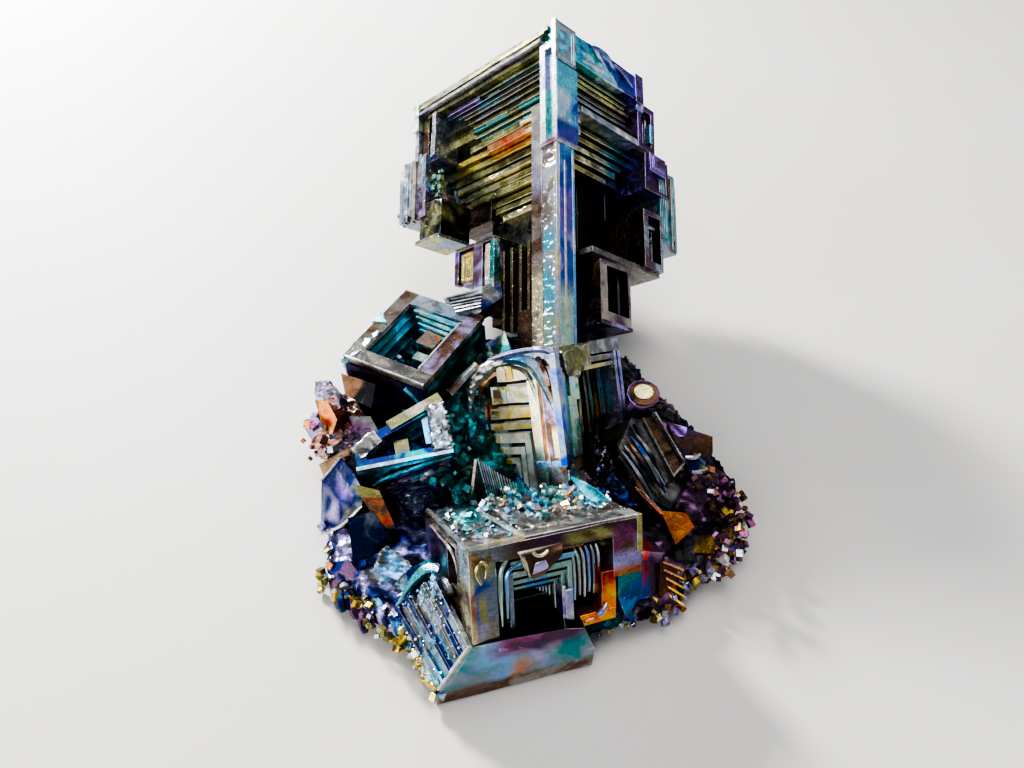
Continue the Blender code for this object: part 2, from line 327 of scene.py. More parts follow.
def chooseFaces(item, direction, depth=None, near=0.05):
    # selects the outermost faces that look along a direction
    aim = Vector(direction)
    bpy.ops.object.mode_set(mode="OBJECT")
    facing = [face for face in item.data.polygons if face.normal.dot(aim) > growth["facing"]]
    top = max(face.center.dot(aim) for face in facing) if depth is None else depth * mm
    for face in item.data.polygons:
        face.select = face.normal.dot(aim) > growth["facing"] and abs(face.center.dot(aim) - top) < near * mm
    bpy.ops.object.mode_set(mode="EDIT")


def sink(item, direction, steps):
    # nested steps: each one insets the chosen face by a margin and a shift, then moves it in or out
    pick([item])
    bpy.ops.object.mode_set(mode="EDIT")
    bpy.ops.mesh.select_mode(type="FACE")
    bpy.ops.mesh.select_all(action="DESELECT")
    chooseFaces(item, direction)
    aim = Vector(direction)
    for margin, depth, shift in steps:
        bpy.ops.mesh.inset(thickness=margin * mm, use_even_offset=True)
        if shift:
            bpy.ops.transform.translate(value=Vector(shift) * mm)
        bpy.ops.mesh.extrude_region_move(TRANSFORM_OT_translate={"value": -aim * depth * mm})
    bpy.ops.object.mode_set(mode="OBJECT")


def score(item, cuts):
    # cuts an item across at the given places, so that its colour can change there
    pick([item])
    bpy.ops.object.mode_set(mode="EDIT")
    for axis, places in cuts.items():
        normal = Vector([axis == name for name in "xyz"])
        for place in places:
            bpy.ops.mesh.select_all(action="SELECT")
            bpy.ops.mesh.bisect(plane_co=normal * place * mm, plane_no=normal)
    bpy.ops.object.mode_set(mode="OBJECT")


def trim(item, point, away):
    # cuts off what lies beyond a plane
    pick([item])
    bpy.ops.object.mode_set(mode="EDIT")
    bpy.ops.mesh.select_all(action="SELECT")
    bpy.ops.mesh.bisect(plane_co=Vector(point) * mm, plane_no=away, clear_outer=True, use_fill=True)
    bpy.ops.object.mode_set(mode="OBJECT")


def slab(stock, areas, z, first, second=None, grain=0.2, holes=()):
    # a flat slab whose outline is a few rectangles, less some holes
    lowX, highX = min(a[0][0] for a in areas), max(a[0][1] for a in areas)
    lowY, highY = min(a[1][0] for a in areas), max(a[1][1] for a in areas)
    bpy.ops.mesh.primitive_plane_add(size=1.0,
                                     location=((lowX + highX) / 2 * mm, (lowY + highY) / 2 * mm, z[0] * mm))
    item = bpy.context.object
    item.scale = ((highX - lowX) * mm, (highY - lowY) * mm, 1.0)
    pick([item])
    bpy.ops.object.transform_apply(location=True, rotation=False, scale=True)
    score(item, {"x": sorted({v for a in [*areas, *holes] for v in a[0]} - {lowX, highX}),
                 "y": sorted({v for a in [*areas, *holes] for v in a[1]} - {lowY, highY})})

    def within(point, area):
        return area[0][0] < point.x < area[0][1] and area[1][0] < point.y < area[1][1]

    for face in item.data.polygons:
        centre = face.center / mm
        face.select = not any(within(centre, a) for a in areas) or any(within(centre, h) for h in holes)
    bpy.ops.object.mode_set(mode="EDIT")
    bpy.ops.mesh.delete(type="FACE")
    bpy.ops.mesh.select_all(action="SELECT")
    bpy.ops.mesh.extrude_region_move(TRANSFORM_OT_translate={"value": (0, 0, (z[1] - z[0]) * mm)})
    bpy.ops.mesh.select_all(action="SELECT")
    bpy.ops.mesh.normals_make_consistent(inside=False)
    bpy.ops.object.mode_set(mode="OBJECT")
    dye(item, first, second, grain)
    stock.append(item)
    return item


def finishPiece(name, stock, material, place=(0, 0, 0), turn=(0, 0, 0), bevel=0.12, wobble=0.15, cuts=None,
                edgeShine=0.22):
    pick(stock)
    if len(stock) > 1:
        bpy.ops.object.join()
    piece = bpy.context.object
    bpy.ops.object.transform_apply(location=True, rotation=True, scale=True)
    piece.name = piece.data.name = name
    if cuts:
        score(piece, cuts)
    if bevel:
        rounding = piece.modifiers.new("rounding", "BEVEL")
        rounding.width = bevel * mm
        rounding.segments = 1
        rounding.limit_method = "ANGLE"
        rounding.angle_limit = math.radians(growth["bevelAngle"])
        bpy.ops.object.modifier_apply(modifier="rounding")
        wearEdges(piece, bevel, edgeShine)
    if wobble:
        clouds = bpy.data.textures.get("wobble") or bpy.data.textures.new("wobble", "CLOUDS")
        clouds.noise_scale = growth["wave"]
        clouds.cloud_type = "COLOR"
        uneven = piece.modifiers.new("uneven", "DISPLACE")
        uneven.texture = clouds
        uneven.direction = "RGB_TO_XYZ"
        uneven.strength = wobble * 2 * mm
        bpy.ops.object.modifier_apply(modifier="uneven")
    layer = piece.data.attributes.new("grown", "FLOAT_VECTOR", "POINT")
    layer.data.foreach_set("vector", [value / mm for vertex in piece.data.vertices for value in vertex.co])
    piece.matrix_world = (Matrix.Translation((Vector(place) - bench) * mm)
                          @ Euler([math.radians(angle) for angle in turn]).to_matrix().to_4x4())
    pick([piece])
    bpy.ops.object.transform_apply(location=True, rotation=True, scale=True)
    if min(vertex.co.z for vertex in piece.data.vertices) < 0:  # nothing reaches below the ground plane
        bpy.ops.object.mode_set(mode="EDIT")
        bpy.ops.mesh.select_all(action="SELECT")
        bpy.ops.mesh.bisect(plane_co=(0, 0, 0), plane_no=(0, 0, 1), clear_inner=True, use_fill=True)
        bpy.ops.object.mode_set(mode="OBJECT")
    bpy.ops.object.shade_smooth_by_angle(angle=math.radians(growth["smoothAngle"]))
    piece.data.materials.clear()
    piece.data.materials.append(material)
    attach(piece, "root")
    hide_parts(node)
    finished.append(piece)
    print("finished", name, len(piece.data.polygons), "faces")
    return piece


def wearEdges(piece, width, share):
    # painted highlight: the narrow faces of a bevel are painted brighter, standing in for edges that catch
    # the light
    mesh = piece.data
    tint, bloom = mesh.attributes["tint"].data, mesh.attributes["bloom"].data
    for face in mesh.polygons:
        corners = [mesh.vertices[index].co for index in face.vertices]
        longest = max((corners[k] - corners[k - 1]).length for k in range(len(corners)))
        if face.area < longest * width * growth["narrow"] * mm:
            for corner in face.loop_indices:
                for layer in (tint, bloom):
                    layer[corner].color = [v * (1 - share) + s * share
                                           for v, s in zip(layer[corner].color, growth["highlightTint"])]


look = {"drift": 0.16, "grit": 1.9, "cubes": 0.75, "hueSwing": 0.10, "relief": 1.6, "bump": 0.55,
        "gloss": 0.13, "metal": 0.94}
film = oxideFilm("oxideFilm", look)
thickFilm = oxideFilm("thickOxide",
                      {**look, "metal": 0.4, "gloss": 0.2})  # chalkier, where the oxide is thick
print("materials ready")


# the tower's own axes: x back right, y back left, z up along the corner post; depths run down from its tip
towerPlace = (8.5, 157.2, 63.0)
towerTurn = (-46.5, 35.9, 28.9)
post = {
    "capFoot": -25.2, "foot": -70.0,
    # how far down each shade reaches on a panel, and the shade below them
    "leftBands": ([(-31, ("silver", "ash", 0.1)), (-43, ("silver", "ash", 0.2)),
                   (-59, ("cyan", "silver", 0.15))],
                  ("mint", "silver", 0.2)),
    "outerBands": ([(-29, ("ash", "silver", 0.2)), (-37, ("lavender", "ash", 0.3)),
                    (-51, ("umber", "ash", 0.35))],
                   ("cream", "ash", 0.3)),
    "rightBands": ([(-31, ("sky", "royal", 0.1)), (-43, ("violet", "royal", 0.1)),
                    (-57, ("royal", "lavender", 0.1))],
                   ("mint", "cyan", 0.3)),
}


def towerPost():
    stock = []
    foot = post["capFoot"]
    plate(stock, (0.9, 6.1), (0.5, 4.0), (foot, -0.5), "teal", "steel", 0.5)
    rough = plate(stock, (0.2, 6.3), (0.0, 0.9), (-8.4, 0.1), "steel", "cyan", 1.0)
    sink(rough, (0, -1, 0), [(0.7, 0.18, None), (0.5, 0.12, None)])
    panel = plate(stock, (0.1, 6.4), (-0.15, 0.8), (foot, -8.9), "cyan", "sky", 0.35)
    score(panel, {"z": [-11.5, -14, -15.8, -17.5, -19, -20.6, -22], "x": [2.2, 3.6, 4.8]})
    # the pale frost patch is a painted sky reflection; the other blues are the oxide's own colour
    repaint(panel, lambda point, normal, centre: ("royal", "violet", 0.15) if point.z < -21 else
            ("frost", "cyan", 0.2) if point.z < -15.5 and point.x < 4 else ("sky", "royal", 0.3)
            if point.z < -15.5 else None)
    plate(stock, (0.0, 0.8), (0.0, 1.0), (foot - 0.3, 0.3), "silver", "cream", 0.4)
    plate(stock, (0.1, 1.1), (2.9, 4.3), (foot, -4.2), "silver", "lavender", 0.5)
    plate(stock, (0.1, 1.1), (1.0, 3.6), (-5.6, -4.4), "silver", "lavender", 0.5)
    plate(stock, (-0.1, 6.4), (-0.1, 4.5), (foot - 0.9, foot - 0.1), "silver", "magenta", 0.2)
    low = post["foot"]
    plate(stock, (0.7, 5.4), (0.7, 6.8), (low, -24), "steel", "royal", 0.2)
    leftPanel = plate(stock, (0.35, 1.2), (0.95, 3.9), (low, foot - 0.8), "silver", "ash", 0.15)
    outerPanel = plate(stock, (0.45, 1.3), (4.15, 7.0), (low, foot + 9), "ash", "lavender", 0.35)
    frontRail = plate(stock, (0.15, 1.0), (0.2, 0.85), (low, foot - 0.8), "silver", "cream", 0.1)
    rightPanel = plate(stock, (1.15, 4.9), (0.3, 0.9), (low, foot - 0.8), "royal", "lavender", 0.1)
    plate(stock, (2.5, 3.1), (0.2, 0.9), (low + 8, foot - 4), "cream", "lavender", 0.1)
    plate(stock, (5.0, 5.7), (0.3, 1.4), (low, foot - 0.8), "sky", "silver", 0.15)
    for item in (leftPanel, outerPanel, rightPanel, frontRail):
        score(item, {"z": [-29, -33, -37, -41, -45, -49, -53, -57, -61, -65]})
    for item, side in ((leftPanel, "leftBands"), (outerPanel, "outerBands"), (rightPanel, "rightBands")):
        bands(item, "z", *post[side])
    finishPiece("tower_post", stock, film, towerPlace, towerTurn, bevel=0.16, wobble=0.12)


terraces = {"leftSlope": 0.40, "rightSlope": 0.24, "seed": 7}


def towerTerraces():
    dice = random.Random(terraces["seed"])
    stock = []

    def leftEnd(c):
        stops = [(2.0, 36.2), (5, 34.4), (9, 30.4), (12.9, 28.0), (13.3, 32.4), (15, 37), (17, 41.6),
                 (20, 38.6),
                 (24, 36.8), (26.5, 36.2), (27, 30), (31, 27), (46, 22)]
        for (c0, a0), (c1, a1) in zip(stops, stops[1:]):
            if c <= c1:
                return a0 + (a1 - a0) * (c - c0) / (c1 - c0)
        return 20

    c = 3.5
    while c < 46:
        fine = c < 13.4
        thick = dice.uniform(0.62, 0.82) if fine else dice.uniform(1.15, 1.7)
        face = 1.0 + terraces["leftSlope"] * min(c, 32) + dice.uniform(-0.35, 0.35)
        end = leftEnd(c) + dice.uniform(-1.2, 1.0)
        if c < 9:
            first, second, grain = dice.choice([("olive", "steel", 0.4), ("steel", "olive", 0.3),
                    ("smoke", "teal", 0.4)])
        elif c < 13.4:
            first, second, grain = dice.choice([("khaki", "olive", 0.25), ("cream", "khaki", 0.3),
                    ("teal", "olive", 0.4)])
        elif c < 30:
            first, second, grain = dice.choice([("khaki", "olive", 0.25), ("khaki", "gold", 0.2),
                    ("khaki", "cream", 0.2)])
        else:
            first, second, grain = dice.choice([("olive", "soot", 0.5), ("smoke", "olive", 0.6),
                    ("soot", "olive", 0.4)])
            end -= dice.uniform(0, 9)
        start = (dice.uniform(2.6, 4.4) if dice.random() < 0.7
                 else dice.uniform(6, 12)) if c < 12 else 0.9 * face - 0.4 + dice.uniform(0, 1)
        plate(stock, (face, face + 4.2), (start, end), (-c - thick, -c), first, second, grain)
        if dice.random() < 0.35:  # a broken step on the ridge
            a = dice.uniform(6, max(8, end - 6))
            plate(stock, (face - 0.3, face + 2), (a, min(end, a + dice.uniform(3, 9))),
                  (-c - thick * 0.8, -c - 0.1), first, second, grain)
        c += thick + (dice.uniform(0.2, 0.38) if fine else dice.uniform(0.2, 0.45))
    # the lavender ridge, the warm plates and the sparkle between them
    plate(stock, (2.2, 5), (24.5, 35.4), (-5.9, -5.1), "violet", "lavender", 0.2)
    warm = plate(stock, (6.0, 11), (2.8, 26.0), (-17.0, -15.2), "cream", "copper", 0.2)
    score(warm, {"y": [8, 12, 15, 18, 21]})
    repaint(warm, lambda point, normal,
            centre: ("red", "copper", 0.25) if 16.5 < point.y < 23 else ("khaki", "copper", 0.3)
            if point.y > 14 else
            ("copper", "cream", 0.2) if point.y > 9 else ("silver", "cream", 0.3))
    plate(stock, (5.2, 9), (2.8, 15.0), (-15.0, -14.2), "cream", "gold", 0.2)
    plate(stock, (7.6, 11), (3.0, 12.4), (-19.6, -17.4), "silver", "mint", 0.25)
    finishPiece("tower_left_terraces", stock, film, towerPlace, towerTurn, bevel=0.1, wobble=0.2,
                cuts={"y": [6, 10, 14, 18, 22, 26, 30, 34, 38]})

    stock = []
    c = 6.7
    while c < 26:
        crest = 14.9 < c < 16.0
        thick = 1.1 if crest else dice.uniform(0.6, 0.85) if c < 15 else dice.uniform(1.0, 1.4)
        face = 1.0 if crest else 1.2 + terraces["rightSlope"] * (c - 4) + dice.uniform(-0.3, 0.3)
        end = 33.2 if crest else (25.5 + 0.5 * (c - 6.7) if c < 16
                                  else 31.5 - 1.15 * (c - 17)) + dice.uniform(-1.2, 0.5)
        if crest:
            first, second, grain = "steel", "silver", 1.0
        elif c < 15:
            first, second, grain = dice.choice([("olive", "khaki", 0.4), ("smoke", "olive", 0.5),
                    ("steel", "olive", 0.3)])
        else:
            first, second, grain = dice.choice([("khaki", "olive", 0.3), ("khaki", "steel", 0.3),
                    ("olive", "cream", 0.3)])
        ridge = plate(stock, (5.0, end), (face, face + 5), (-c - thick, -c), first, second, grain)
        if c > 16:
            score(ridge, {"x": [12, 18, 24]})
            cool = dice.choice(["teal", "steel", "steel", "lavender"])
            bands(ridge, "x", [(19, (cool, "teal", 0.3))])
        c += thick + dice.uniform(0.25, 0.45) + (0.3 if c > 16 else 0)
    # painted shade: near-black plates down the hollow behind the right terraces
    for k in range(9):
        c = 27.5 + 2.0 * k
        plate(stock, (14.4, 26 + dice.uniform(-4, 3)), (11.6 + dice.uniform(-0.4, 0.6), 17), (-c - 1.7, -c),
              "shadowBlack", "soot", 0.3)
    finishPiece("tower_right_terraces", stock, film, towerPlace, towerTurn, bevel=0.1, wobble=0.2,
                cuts={"x": [9, 13, 17, 21, 25, 29]})


core = {
    "storeys": [
        (0.2, 3.0, [((1.4, 28.0), (2.2, 18.8)), ((1.4, 21.8), (2.2, 30.8)), ((1.4, 14.8), (2.2, 42.6))], 0.0),
        (3.0, 5.8, [((3.4, 27.8), (3.6, 17.0)), ((3.4, 22.4), (3.6, 29.8)), ((3.4, 15.4), (3.6, 41.8))], 1.2),
        (5.8, 8.6, [((4.9, 29.6), (4.2, 17.4)), ((4.9, 22.8), (4.2, 28.8)), ((4.9, 16.2), (4.2, 41.0))], 2.4),
        (8.6, 11.4, [((6.4, 30.4), (5.0, 17.5)), ((6.4, 23.0), (5.0, 29.0)), ((6.4, 16.5), (5.0, 40.6))],
         3.5),
        (11.4, 17.4, [((9.0, 31.6), (6.4, 18.0)), ((9.0, 23.5), (6.4, 28.5)), ((9.0, 17.0), (6.4, 42.0))],
         None),
        (17.4, 23.6, [((11.4, 36.0), (8.2, 18.5)), ((11.4, 24.5), (8.2, 29.5)),
                      ((11.4, 18.0), (8.2, 44.8))], None),
        (23.6, 30.0, [((14.0, 35.6), (12.4, 20.0)), ((14.0, 20.5), (12.4, 42.0))], None),
        (30.0, 37.0, [((15.0, 30.6), (15.0, 20.5)), ((15.0, 21.0), (15.0, 33.6))], None),
        (37.0, 45.0, [((13.6, 26.0), (13.6, 27.5))], None),
        (45.0, 57.0, [((7.0, 19.5), (7.4, 25.0))], None),
        (57.0, 69.5, [((2.6, 8.8), (7.0, 13.0))], None),
    ],
    "pits": [((4.6, 18.6), (6.2, 27.6)), ((4.8, 12.6), (28.8, 40.2)), ((19.8, 26.0), (6.4, 15.6))],
}


def towerCore():
    stock = []
    for number, (top, bottom, areas, drawn) in enumerate(core["storeys"]):
        holes = [] if drawn is None else [((x0 + drawn * 0.9, x1 - drawn * 0.9), (y0 + drawn, y1 - drawn))
                                          for (x0, x1), (y0, y1) in core["pits"] if x1 - x0 > 2 * drawn + 1.5]
        shade = [("steel", "teal"), ("teal", "smoke"), ("olive", "smoke"), ("khaki", "olive"),
                 ("smoke", "olive")][number % 5] if number < 6 \
            else ("smoke", "soot") if number < 9 else ("umber", "soot")
        slab(stock, areas, (-bottom, -top), shade[0], shade[1], 0.45, holes)
        # thin ledges round the back of each storey
        for k in range(int((bottom - top) / 1.4)):
            c = top + 0.5 + 1.4 * k
            (x0, x1), (y0, y1) = areas[0]
            plate(stock, (x1 - 4, x1 + 0.45), (y0 + 3, y1 + 0.3), (-c - 0.7, -c), shade[1], shade[0], 0.3)
            (x0, x1), (y0, y1) = areas[-1]
            plate(stock, (x0 + 3, x1 + 0.4), (y1 - 4, y1 + 0.4), (-c - 0.7, -c), shade[0], shade[1], 0.3)
    # painted shade: near-black and dark plates fill the hollows inside the head
    plate(stock, (13.8, 33.0), (12.8, 20.0), (-45.6, -24.0), "shadowBlack", "soot", 0.3)
    plate(stock, (26.0, 36.4), (8.9, 13.0), (-32.0, -20.0), "shadowBlack", "soot", 0.3)
    plate(stock, (6.0, 14.6), (8.6, 12.0), (-46.0, -25.0), "shadowBlack", "soot", 0.3)
    plate(stock, (17.0, 32.0), (9.4, 14.0), (-45.2, -25.0), "shadowBlack", "soot", 0.3)
    plate(stock, (15.4, 20.6), (12.8, 33.0), (-41.6, -24.0), "soot", "umber", 0.4)
    y = 7.2
    for k in range(14):  # standing strips of the stem's left side
        plate(stock, (2.6 + 0.9 * (k % 3), 8.0), (y, y + 0.75), (-66.0 + 0.8 * (k % 4) + 0.5 * k, -43.0),
              *[("umber", "olive", 0.4), ("soot", "umber", 0.4), ("olive", "umber", 0.4)][k % 3])
        y += 0.8
    finishPiece("tower_core", stock, film, towerPlace, towerTurn, bevel=0.14, wobble=0.15, edgeShine=0.05)


def towerLeftFrames():
    dice = random.Random(11)
    stock = []
    # rim band along the head's left edge, and the nested angles that turn down at its end
    plate(stock, (0.3, 4.0), (2.4, 44.6), (-1.1, -0.1), "smoke", "olive", 1.0)
    plate(stock, (-0.1, 3.8), (3.0, 44.0), (-1.9, -1.3), "olive", "khaki", 0.8)
    plate(stock, (0.5, 3.8), (3.8, 43.6), (-2.6, -1.7), "smoke", "steel", 0.8)
    plate(stock, (-0.2, 2.0), (4.0, 43.0), (-3.25, -2.6), "silver", "lavender", 0.3)
    plate(stock, (1.0, 3.0), (4.0, 41.0), (-4.4, -3.7), "olive", "khaki", 0.4)
    plate(stock, (-0.3, 2.2), (43.0, 45.2), (-7.0, -0.4), "silver", "mint", 1.0)
    plate(stock, (0.2, 6.0), (43.4, 44.6), (-14.6, -6.0), "steel", "silver", 0.6)
    plate(stock, (1.2, 7.0), (40.8, 42.8), (-14.8, -2.6), "umber", "olive", 0.4)
    plate(stock, (1.9, 7.0), (39.2, 40.9), (-14.9, -3.6), "soot", "umber", 0.4)
    plate(stock, (0.0, 7.0), (37.0, 38.2), (-15.2, -4.6), "silver", "steel", 0.4)
    plate(stock, (0.6, 7.0), (38.2, 39.2), (-15.0, -8.8), "silver", "sky", 0.9)
    plate(stock, (3.4, 8.4), (37.4, 44.4), (-14.9, -1.2), "soot", "olive", 0.5)
    for k in range(8):
        plate(stock, (2.4 + 0.25 * (k % 3), 4.0), (38.4 + 0.2 * k, 43.6),
              (-2.6 - 1.55 * k, -1.9 - 1.55 * k), *[("olive", "khaki", 0.4), ("smoke", "teal", 0.5)][k % 2])
    plate(stock, (1.6, 8.5), (37.6, 44.6), (-15.5, -15.0), "steel", "violet", 0.5)
    # middle block: a rough face of thin standing strips
    plate(stock, (1.4, 9.7), (41.2, 49.8), (-28.6, -12.8), "steel", "ash", 0.8)
    a = 41.2
    while a < 49.6:
        width = dice.uniform(0.5, 1.1)
        top = -12.6 - dice.uniform(0, 2.0) - max(0, a - 46) * 0.4
        plate(stock, (0.5 + dice.uniform(-0.5, 0.5), 2.4), (a, a + width),
              (-28.4 + dice.uniform(-0.6, 1.5), top),
              *dice.choice([("steel", "silver", 0.9), ("ash", "steel", 0.8), ("steel", "teal", 0.9),
                            ("olive", "steel", 0.8)]))
        a += width * 0.92
    plate(stock, (0.3, 2.0), (40.6, 41.4), (-27.6, -13.6), "steel", "violet", 0.5)
    plate(stock, (0.4, 9.6), (40.4, 43.6), (-28.9, -21.5), "plum", "lavender", 0.5)
    for k in range(26):  # grains at its lower corner
        s = dice.uniform(0.35, 1.0)
        x, y, z = dice.uniform(-0.4, 5.0), dice.uniform(44.5, 50.2), -dice.uniform(25.8, 29.4)
        plate(stock, (x, x + s), (y, y + s), (z, z + s * 1.2),
              *dice.choice([("silver", "cream", 0.8), ("sky", "silver", 0.7), ("steel", "gold", 0.8)]))
    # its foot, and the dark shelf behind
    roughen(plate(stock, (0.7, 9.6), (35.2, 43.0), (-34.8, -26.0), "olive"), 0.4, [(2.4, 0.6)], "olive",
            "soot", 0.6)
    plate(stock, (0.1, 9.4), (35.0, 43.4), (-35.4, -34.6), "khaki", "steel", 0.4)
    plate(stock, (11.4, 16.0), (30.0, 41.4), (-30.0, -15.4), "soot", "umber", 0.5)
    for k in range(6):  # ends of the broad plates, running on under the frame
        plate(stock, (7.9 + 0.75 * k, 13.6), (30.0, 41.8 - 0.8 * k), (-17.8 - 1.9 * k, -16.3 - 1.9 * k),
              *[("khaki", "olive", 0.4), ("olive", "teal", 0.5)][k % 2])
    for k in range(16):
        s = dice.uniform(0.5, 1.2)
        x, y, z = dice.uniform(1.0, 3.0), dice.uniform(36.0, 41.0), -dice.uniform(17.5, 25.0)
        plate(stock, (x, x + s), (y, y + s), (z, z + s),
              *dice.choice([("mint", "khaki", 0.6), ("teal", "mint", 0.6), ("khaki", "olive", 0.6)]))
    finishPiece("tower_left_frames", stock, film, towerPlace, towerTurn, bevel=0.14, wobble=0.22,
                cuts={"y": [10, 16, 22, 28, 34], "z": [-20, -24]})

    stock = []
    plate(stock, (1.2, 13.0), (17.4, 29.2), (-48.2, -41.2), "plum", "lavender", 0.5)
    plate(stock, (1.2, 13.0), (17.4, 23.6), (-55.4, -47.6), "umber", "olive", 0.5)
    plate(stock, (0.3, 2.0), (17.2, 18.3), (-55.8, -40.6), "teal", "mint", 0.4)
    plate(stock, (0.5, 2.0), (18.8, 20.2), (-55.4, -41.4), "cream", "silver", 0.4)
    plate(stock, (0.3, 2.0), (20.8, 23.7), (-55.7, -41.0), "plum", "lavender", 0.8)
    patch = plate(stock, (0.7, 2.0), (24.2, 28.0), (-48.0, -41.6), "gold", "khaki", 0.9)
    sink(patch, (-1, 0, 0), [(0.6, 0.3, None)])
    plate(stock, (0.2, 2.0), (28.2, 29.5), (-48.4, -40.9), "plum", "violet", 0.5)
    plate(stock, (0.2, 12.5), (17.2, 29.4), (-41.1, -40.3), "plum", "olive", 0.4)
    for k in range(14):
        a = 17.6 + 0.8 * k
        plate(stock, (0.9 + dice.uniform(-0.4, 0.3), 2.2), (a, a + 0.5),
              (-48.6 + dice.uniform(-1, 2), -42 - dice.uniform(0, 2)),
              *dice.choice([("lavender", "violet", 0.7), ("umber", "gold", 0.7),
                            ("silver", "lavender", 0.7)]))
    finishPiece("tower_left_low_block", stock, film, towerPlace, towerTurn, bevel=0.12, wobble=0.25)


def towerRightFrames():
    dice = random.Random(5)
    stock = []
    rim = plate(stock, (6.2, 28.6), (0.1, 4.2), (-6.3, -0.3), "cyan", "sky", 0.5)
    score(rim, {"x": [7.2 + 0.9 * k for k in range(23)], "z": [-0.3 - 0.75 * k for k in range(1, 8)]})

    def rimShade(point, normal, centre):
        flame = point.x + 2.6 * math.sin(1.5 * point.z + 0.7 * point.x) + 0.8 * point.z
        if flame < 8.5:
            return ("teal", "cyan", 0.5)
        if flame < 13:
            return ("cyan", "frost", 0.5) if point.z < -2.9 else ("navy", "royal", 0.3)
        if flame < 15.5:
            return ("frost", "sky", 0.4)
        return ("royal", "navy", 0.3) if flame < 21 else ("violet", "royal", 0.3)

    repaint(rim, rimShade)
    rail(stock, [(12.0, 0.2, -0.4), (14.6, -0.2, -0.2), (17.6, 0.2, -0.5)], [0.3, 0.7, 0.3], "royal",
         "navy", 0.3)
    rail(stock, [(8.6, 0.2, -5.2), (12.0, -0.2, -5.0), (16.0, 0.2, -4.4)], [0.3, 0.6, 0.2], "cyan",
         "silver", 0.4)
    rail(stock, [(19.0, 0.2, -1.0), (22.6, -0.2, -2.0), (25.4, 0.2, -3.8)], [0.3, 0.6, 0.3], "sky",
         "violet", 0.3)
    plate(stock, (26.0, 28.9), (-0.3, 4.4), (-6.8, 0.2), "violet", "plum", 0.5)
    shoulder = plate(stock, (27.2, 33.6), (0.3, 7.8), (-16.6, -6.0), "plum", "violet", 0.4)
    sink(shoulder, (0, -1, 0), [(1.3, 1.4, None), (0.4, 0.6, None)])
    roughen(plate(stock, (26.4, 29.2), (-0.2, 3.0), (-8.4, -5.4), "violet"), 0.35, [(1.6, 0.5)], "violet",
            "royal", 0.6)
    plate(stock, (31.4, 32.4), (-0.1, 1.2), (-14.5, -10.0), "cyan", "silver", 0.4)
    plate(stock, (8.5, 33.6), (0.4, 3.0), (-16.6, -15.2), "steel", "silver", 1.0)
    facet = plate(stock, (29.4, 38.2), (0.2, 8.6), (-26.0, -17.4), "plum", "violet", 0.3)
    sink(facet, (0, -1, 0), [(0.9, 0.5, None), (0.8, 0.5, None)])
    facetTop = plate(stock, (30.4, 36.6), (-0.4, 2.0), (-21.6, -17.2), "violet", "plum", 0.5)
    sink(facetTop, (0, -1, 0), [(0.8, -0.4, None)])
    plate(stock, (35.4, 41.2), (0.6, 11.2), (-38.2, -19.4), "steel", "teal", 0.9)
    for k in range(7):
        b = 35.6 + 0.8 * k
        plate(stock, (b, b + 0.55), (0.2 + dice.uniform(-0.3, 0.4), 2.0),
              (-37.8 + dice.uniform(-0.5, 3), -19.8 - dice.uniform(0, 2.5)),
              *dice.choice([("steel", "teal", 0.9), ("ash", "steel", 0.9), ("teal", "smoke", 0.8)]))
    window = plate(stock, (28.4, 35.4), (0.2, 12.6), (-44.0, -30.8), "steel", "plum", 0.5)
    sink(window, (0, -1, 0), [(1.4, 2.4, (0.4, 0, 0.2)), (0.4, 2.5, None)])
    # painted shade: the window's deep inner faces are near black and its side walls dark
    repaint(window, lambda point, normal,
            centre: ("shadowBlack", "soot", 0.2) if centre.y > 1.2 and 29 < centre.x < 35
            and -43.5 < centre.z < -31.2 and centre.y < 8 else
            ("soot", "umber", 0.3) if normal.x < -0.5 else None)
    for k in range(3):
        plate(stock, (30.2 + 0.3 * k, 33.4), (1.0 + 0.7 * k, 3), (-34.6 - 2.6 * k, -33.8 - 2.6 * k),
              "steel", "silver", 0.4)
    plate(stock, (12.0, 35.2), (1.2, 13.2), (-45.0, -43.8), "ash", "smoke", 0.5)
    low = plate(stock, (13.0, 22.8), (0.2, 14.2), (-59.0, -46.4), "ash", "plum", 0.7)
    sink(low, (0, -1, 0), [(1.5, 2.4, (0.7, 0, 0.6)), (0.4, 3.0, None), (0.7, 1.0, None)])
    # painted shade: the opening's deep inner faces are near black and its side walls dark
    repaint(low, lambda point, normal,
            centre: ("shadowBlack", "soot", 0.2) if centre.y > 1.2 and 14 < centre.x < 22.5
            and -58 < centre.z < -47 and centre.y < 8 else
            ("soot", "umber", 0.4) if normal.x < -0.5 else None)
    plate(stock, (12.8, 23.0), (0.0, 14.0), (-59.6, -58.8), "plum", "lavender", 0.3)
    plate(stock, (15.0, 16.6), (1.2, 3.0), (-53.0, -50.6), "teal", "mint", 0.4)
    finishPiece("tower_right_frames", stock, film, towerPlace, towerTurn, bevel=0.16, wobble=0.25)


towerPost()
towerTerraces()
towerCore()
towerLeftFrames()
towerRightFrames()
print("tower ready")

kneePlace = (9.5, 86.0, 15.0)
kneeTurn = (-31.8, 30.3, 49.5)
knee = {
    # rows of the maze on its left face: top, bottom, right end, left end,
    # and the width of the leg at the right end
    "rows": [
        (16.2, 13.4, 5.6, 13.5, 0), (12.5, 9.2, 6.0, 15.6, 0), (8.4, 6.4, 6.3, 16.4, 0),
        (5.6, 4.3, 6.6, 16.9, 0),
        (3.6, 1.7, 8.5, 17.0, 1.3), (0.9, -0.5, 10.3, 17.2, 1.0), (-1.2, -2.4, 11.9, 17.2, 0.9),
        (-3.0, -4.0, 13.2, 17.2, 0.8), (-4.7, -5.6, 14.4, 17.2, 0.7),
    ],
    "step": 0.27, "floor": -10.5,
}


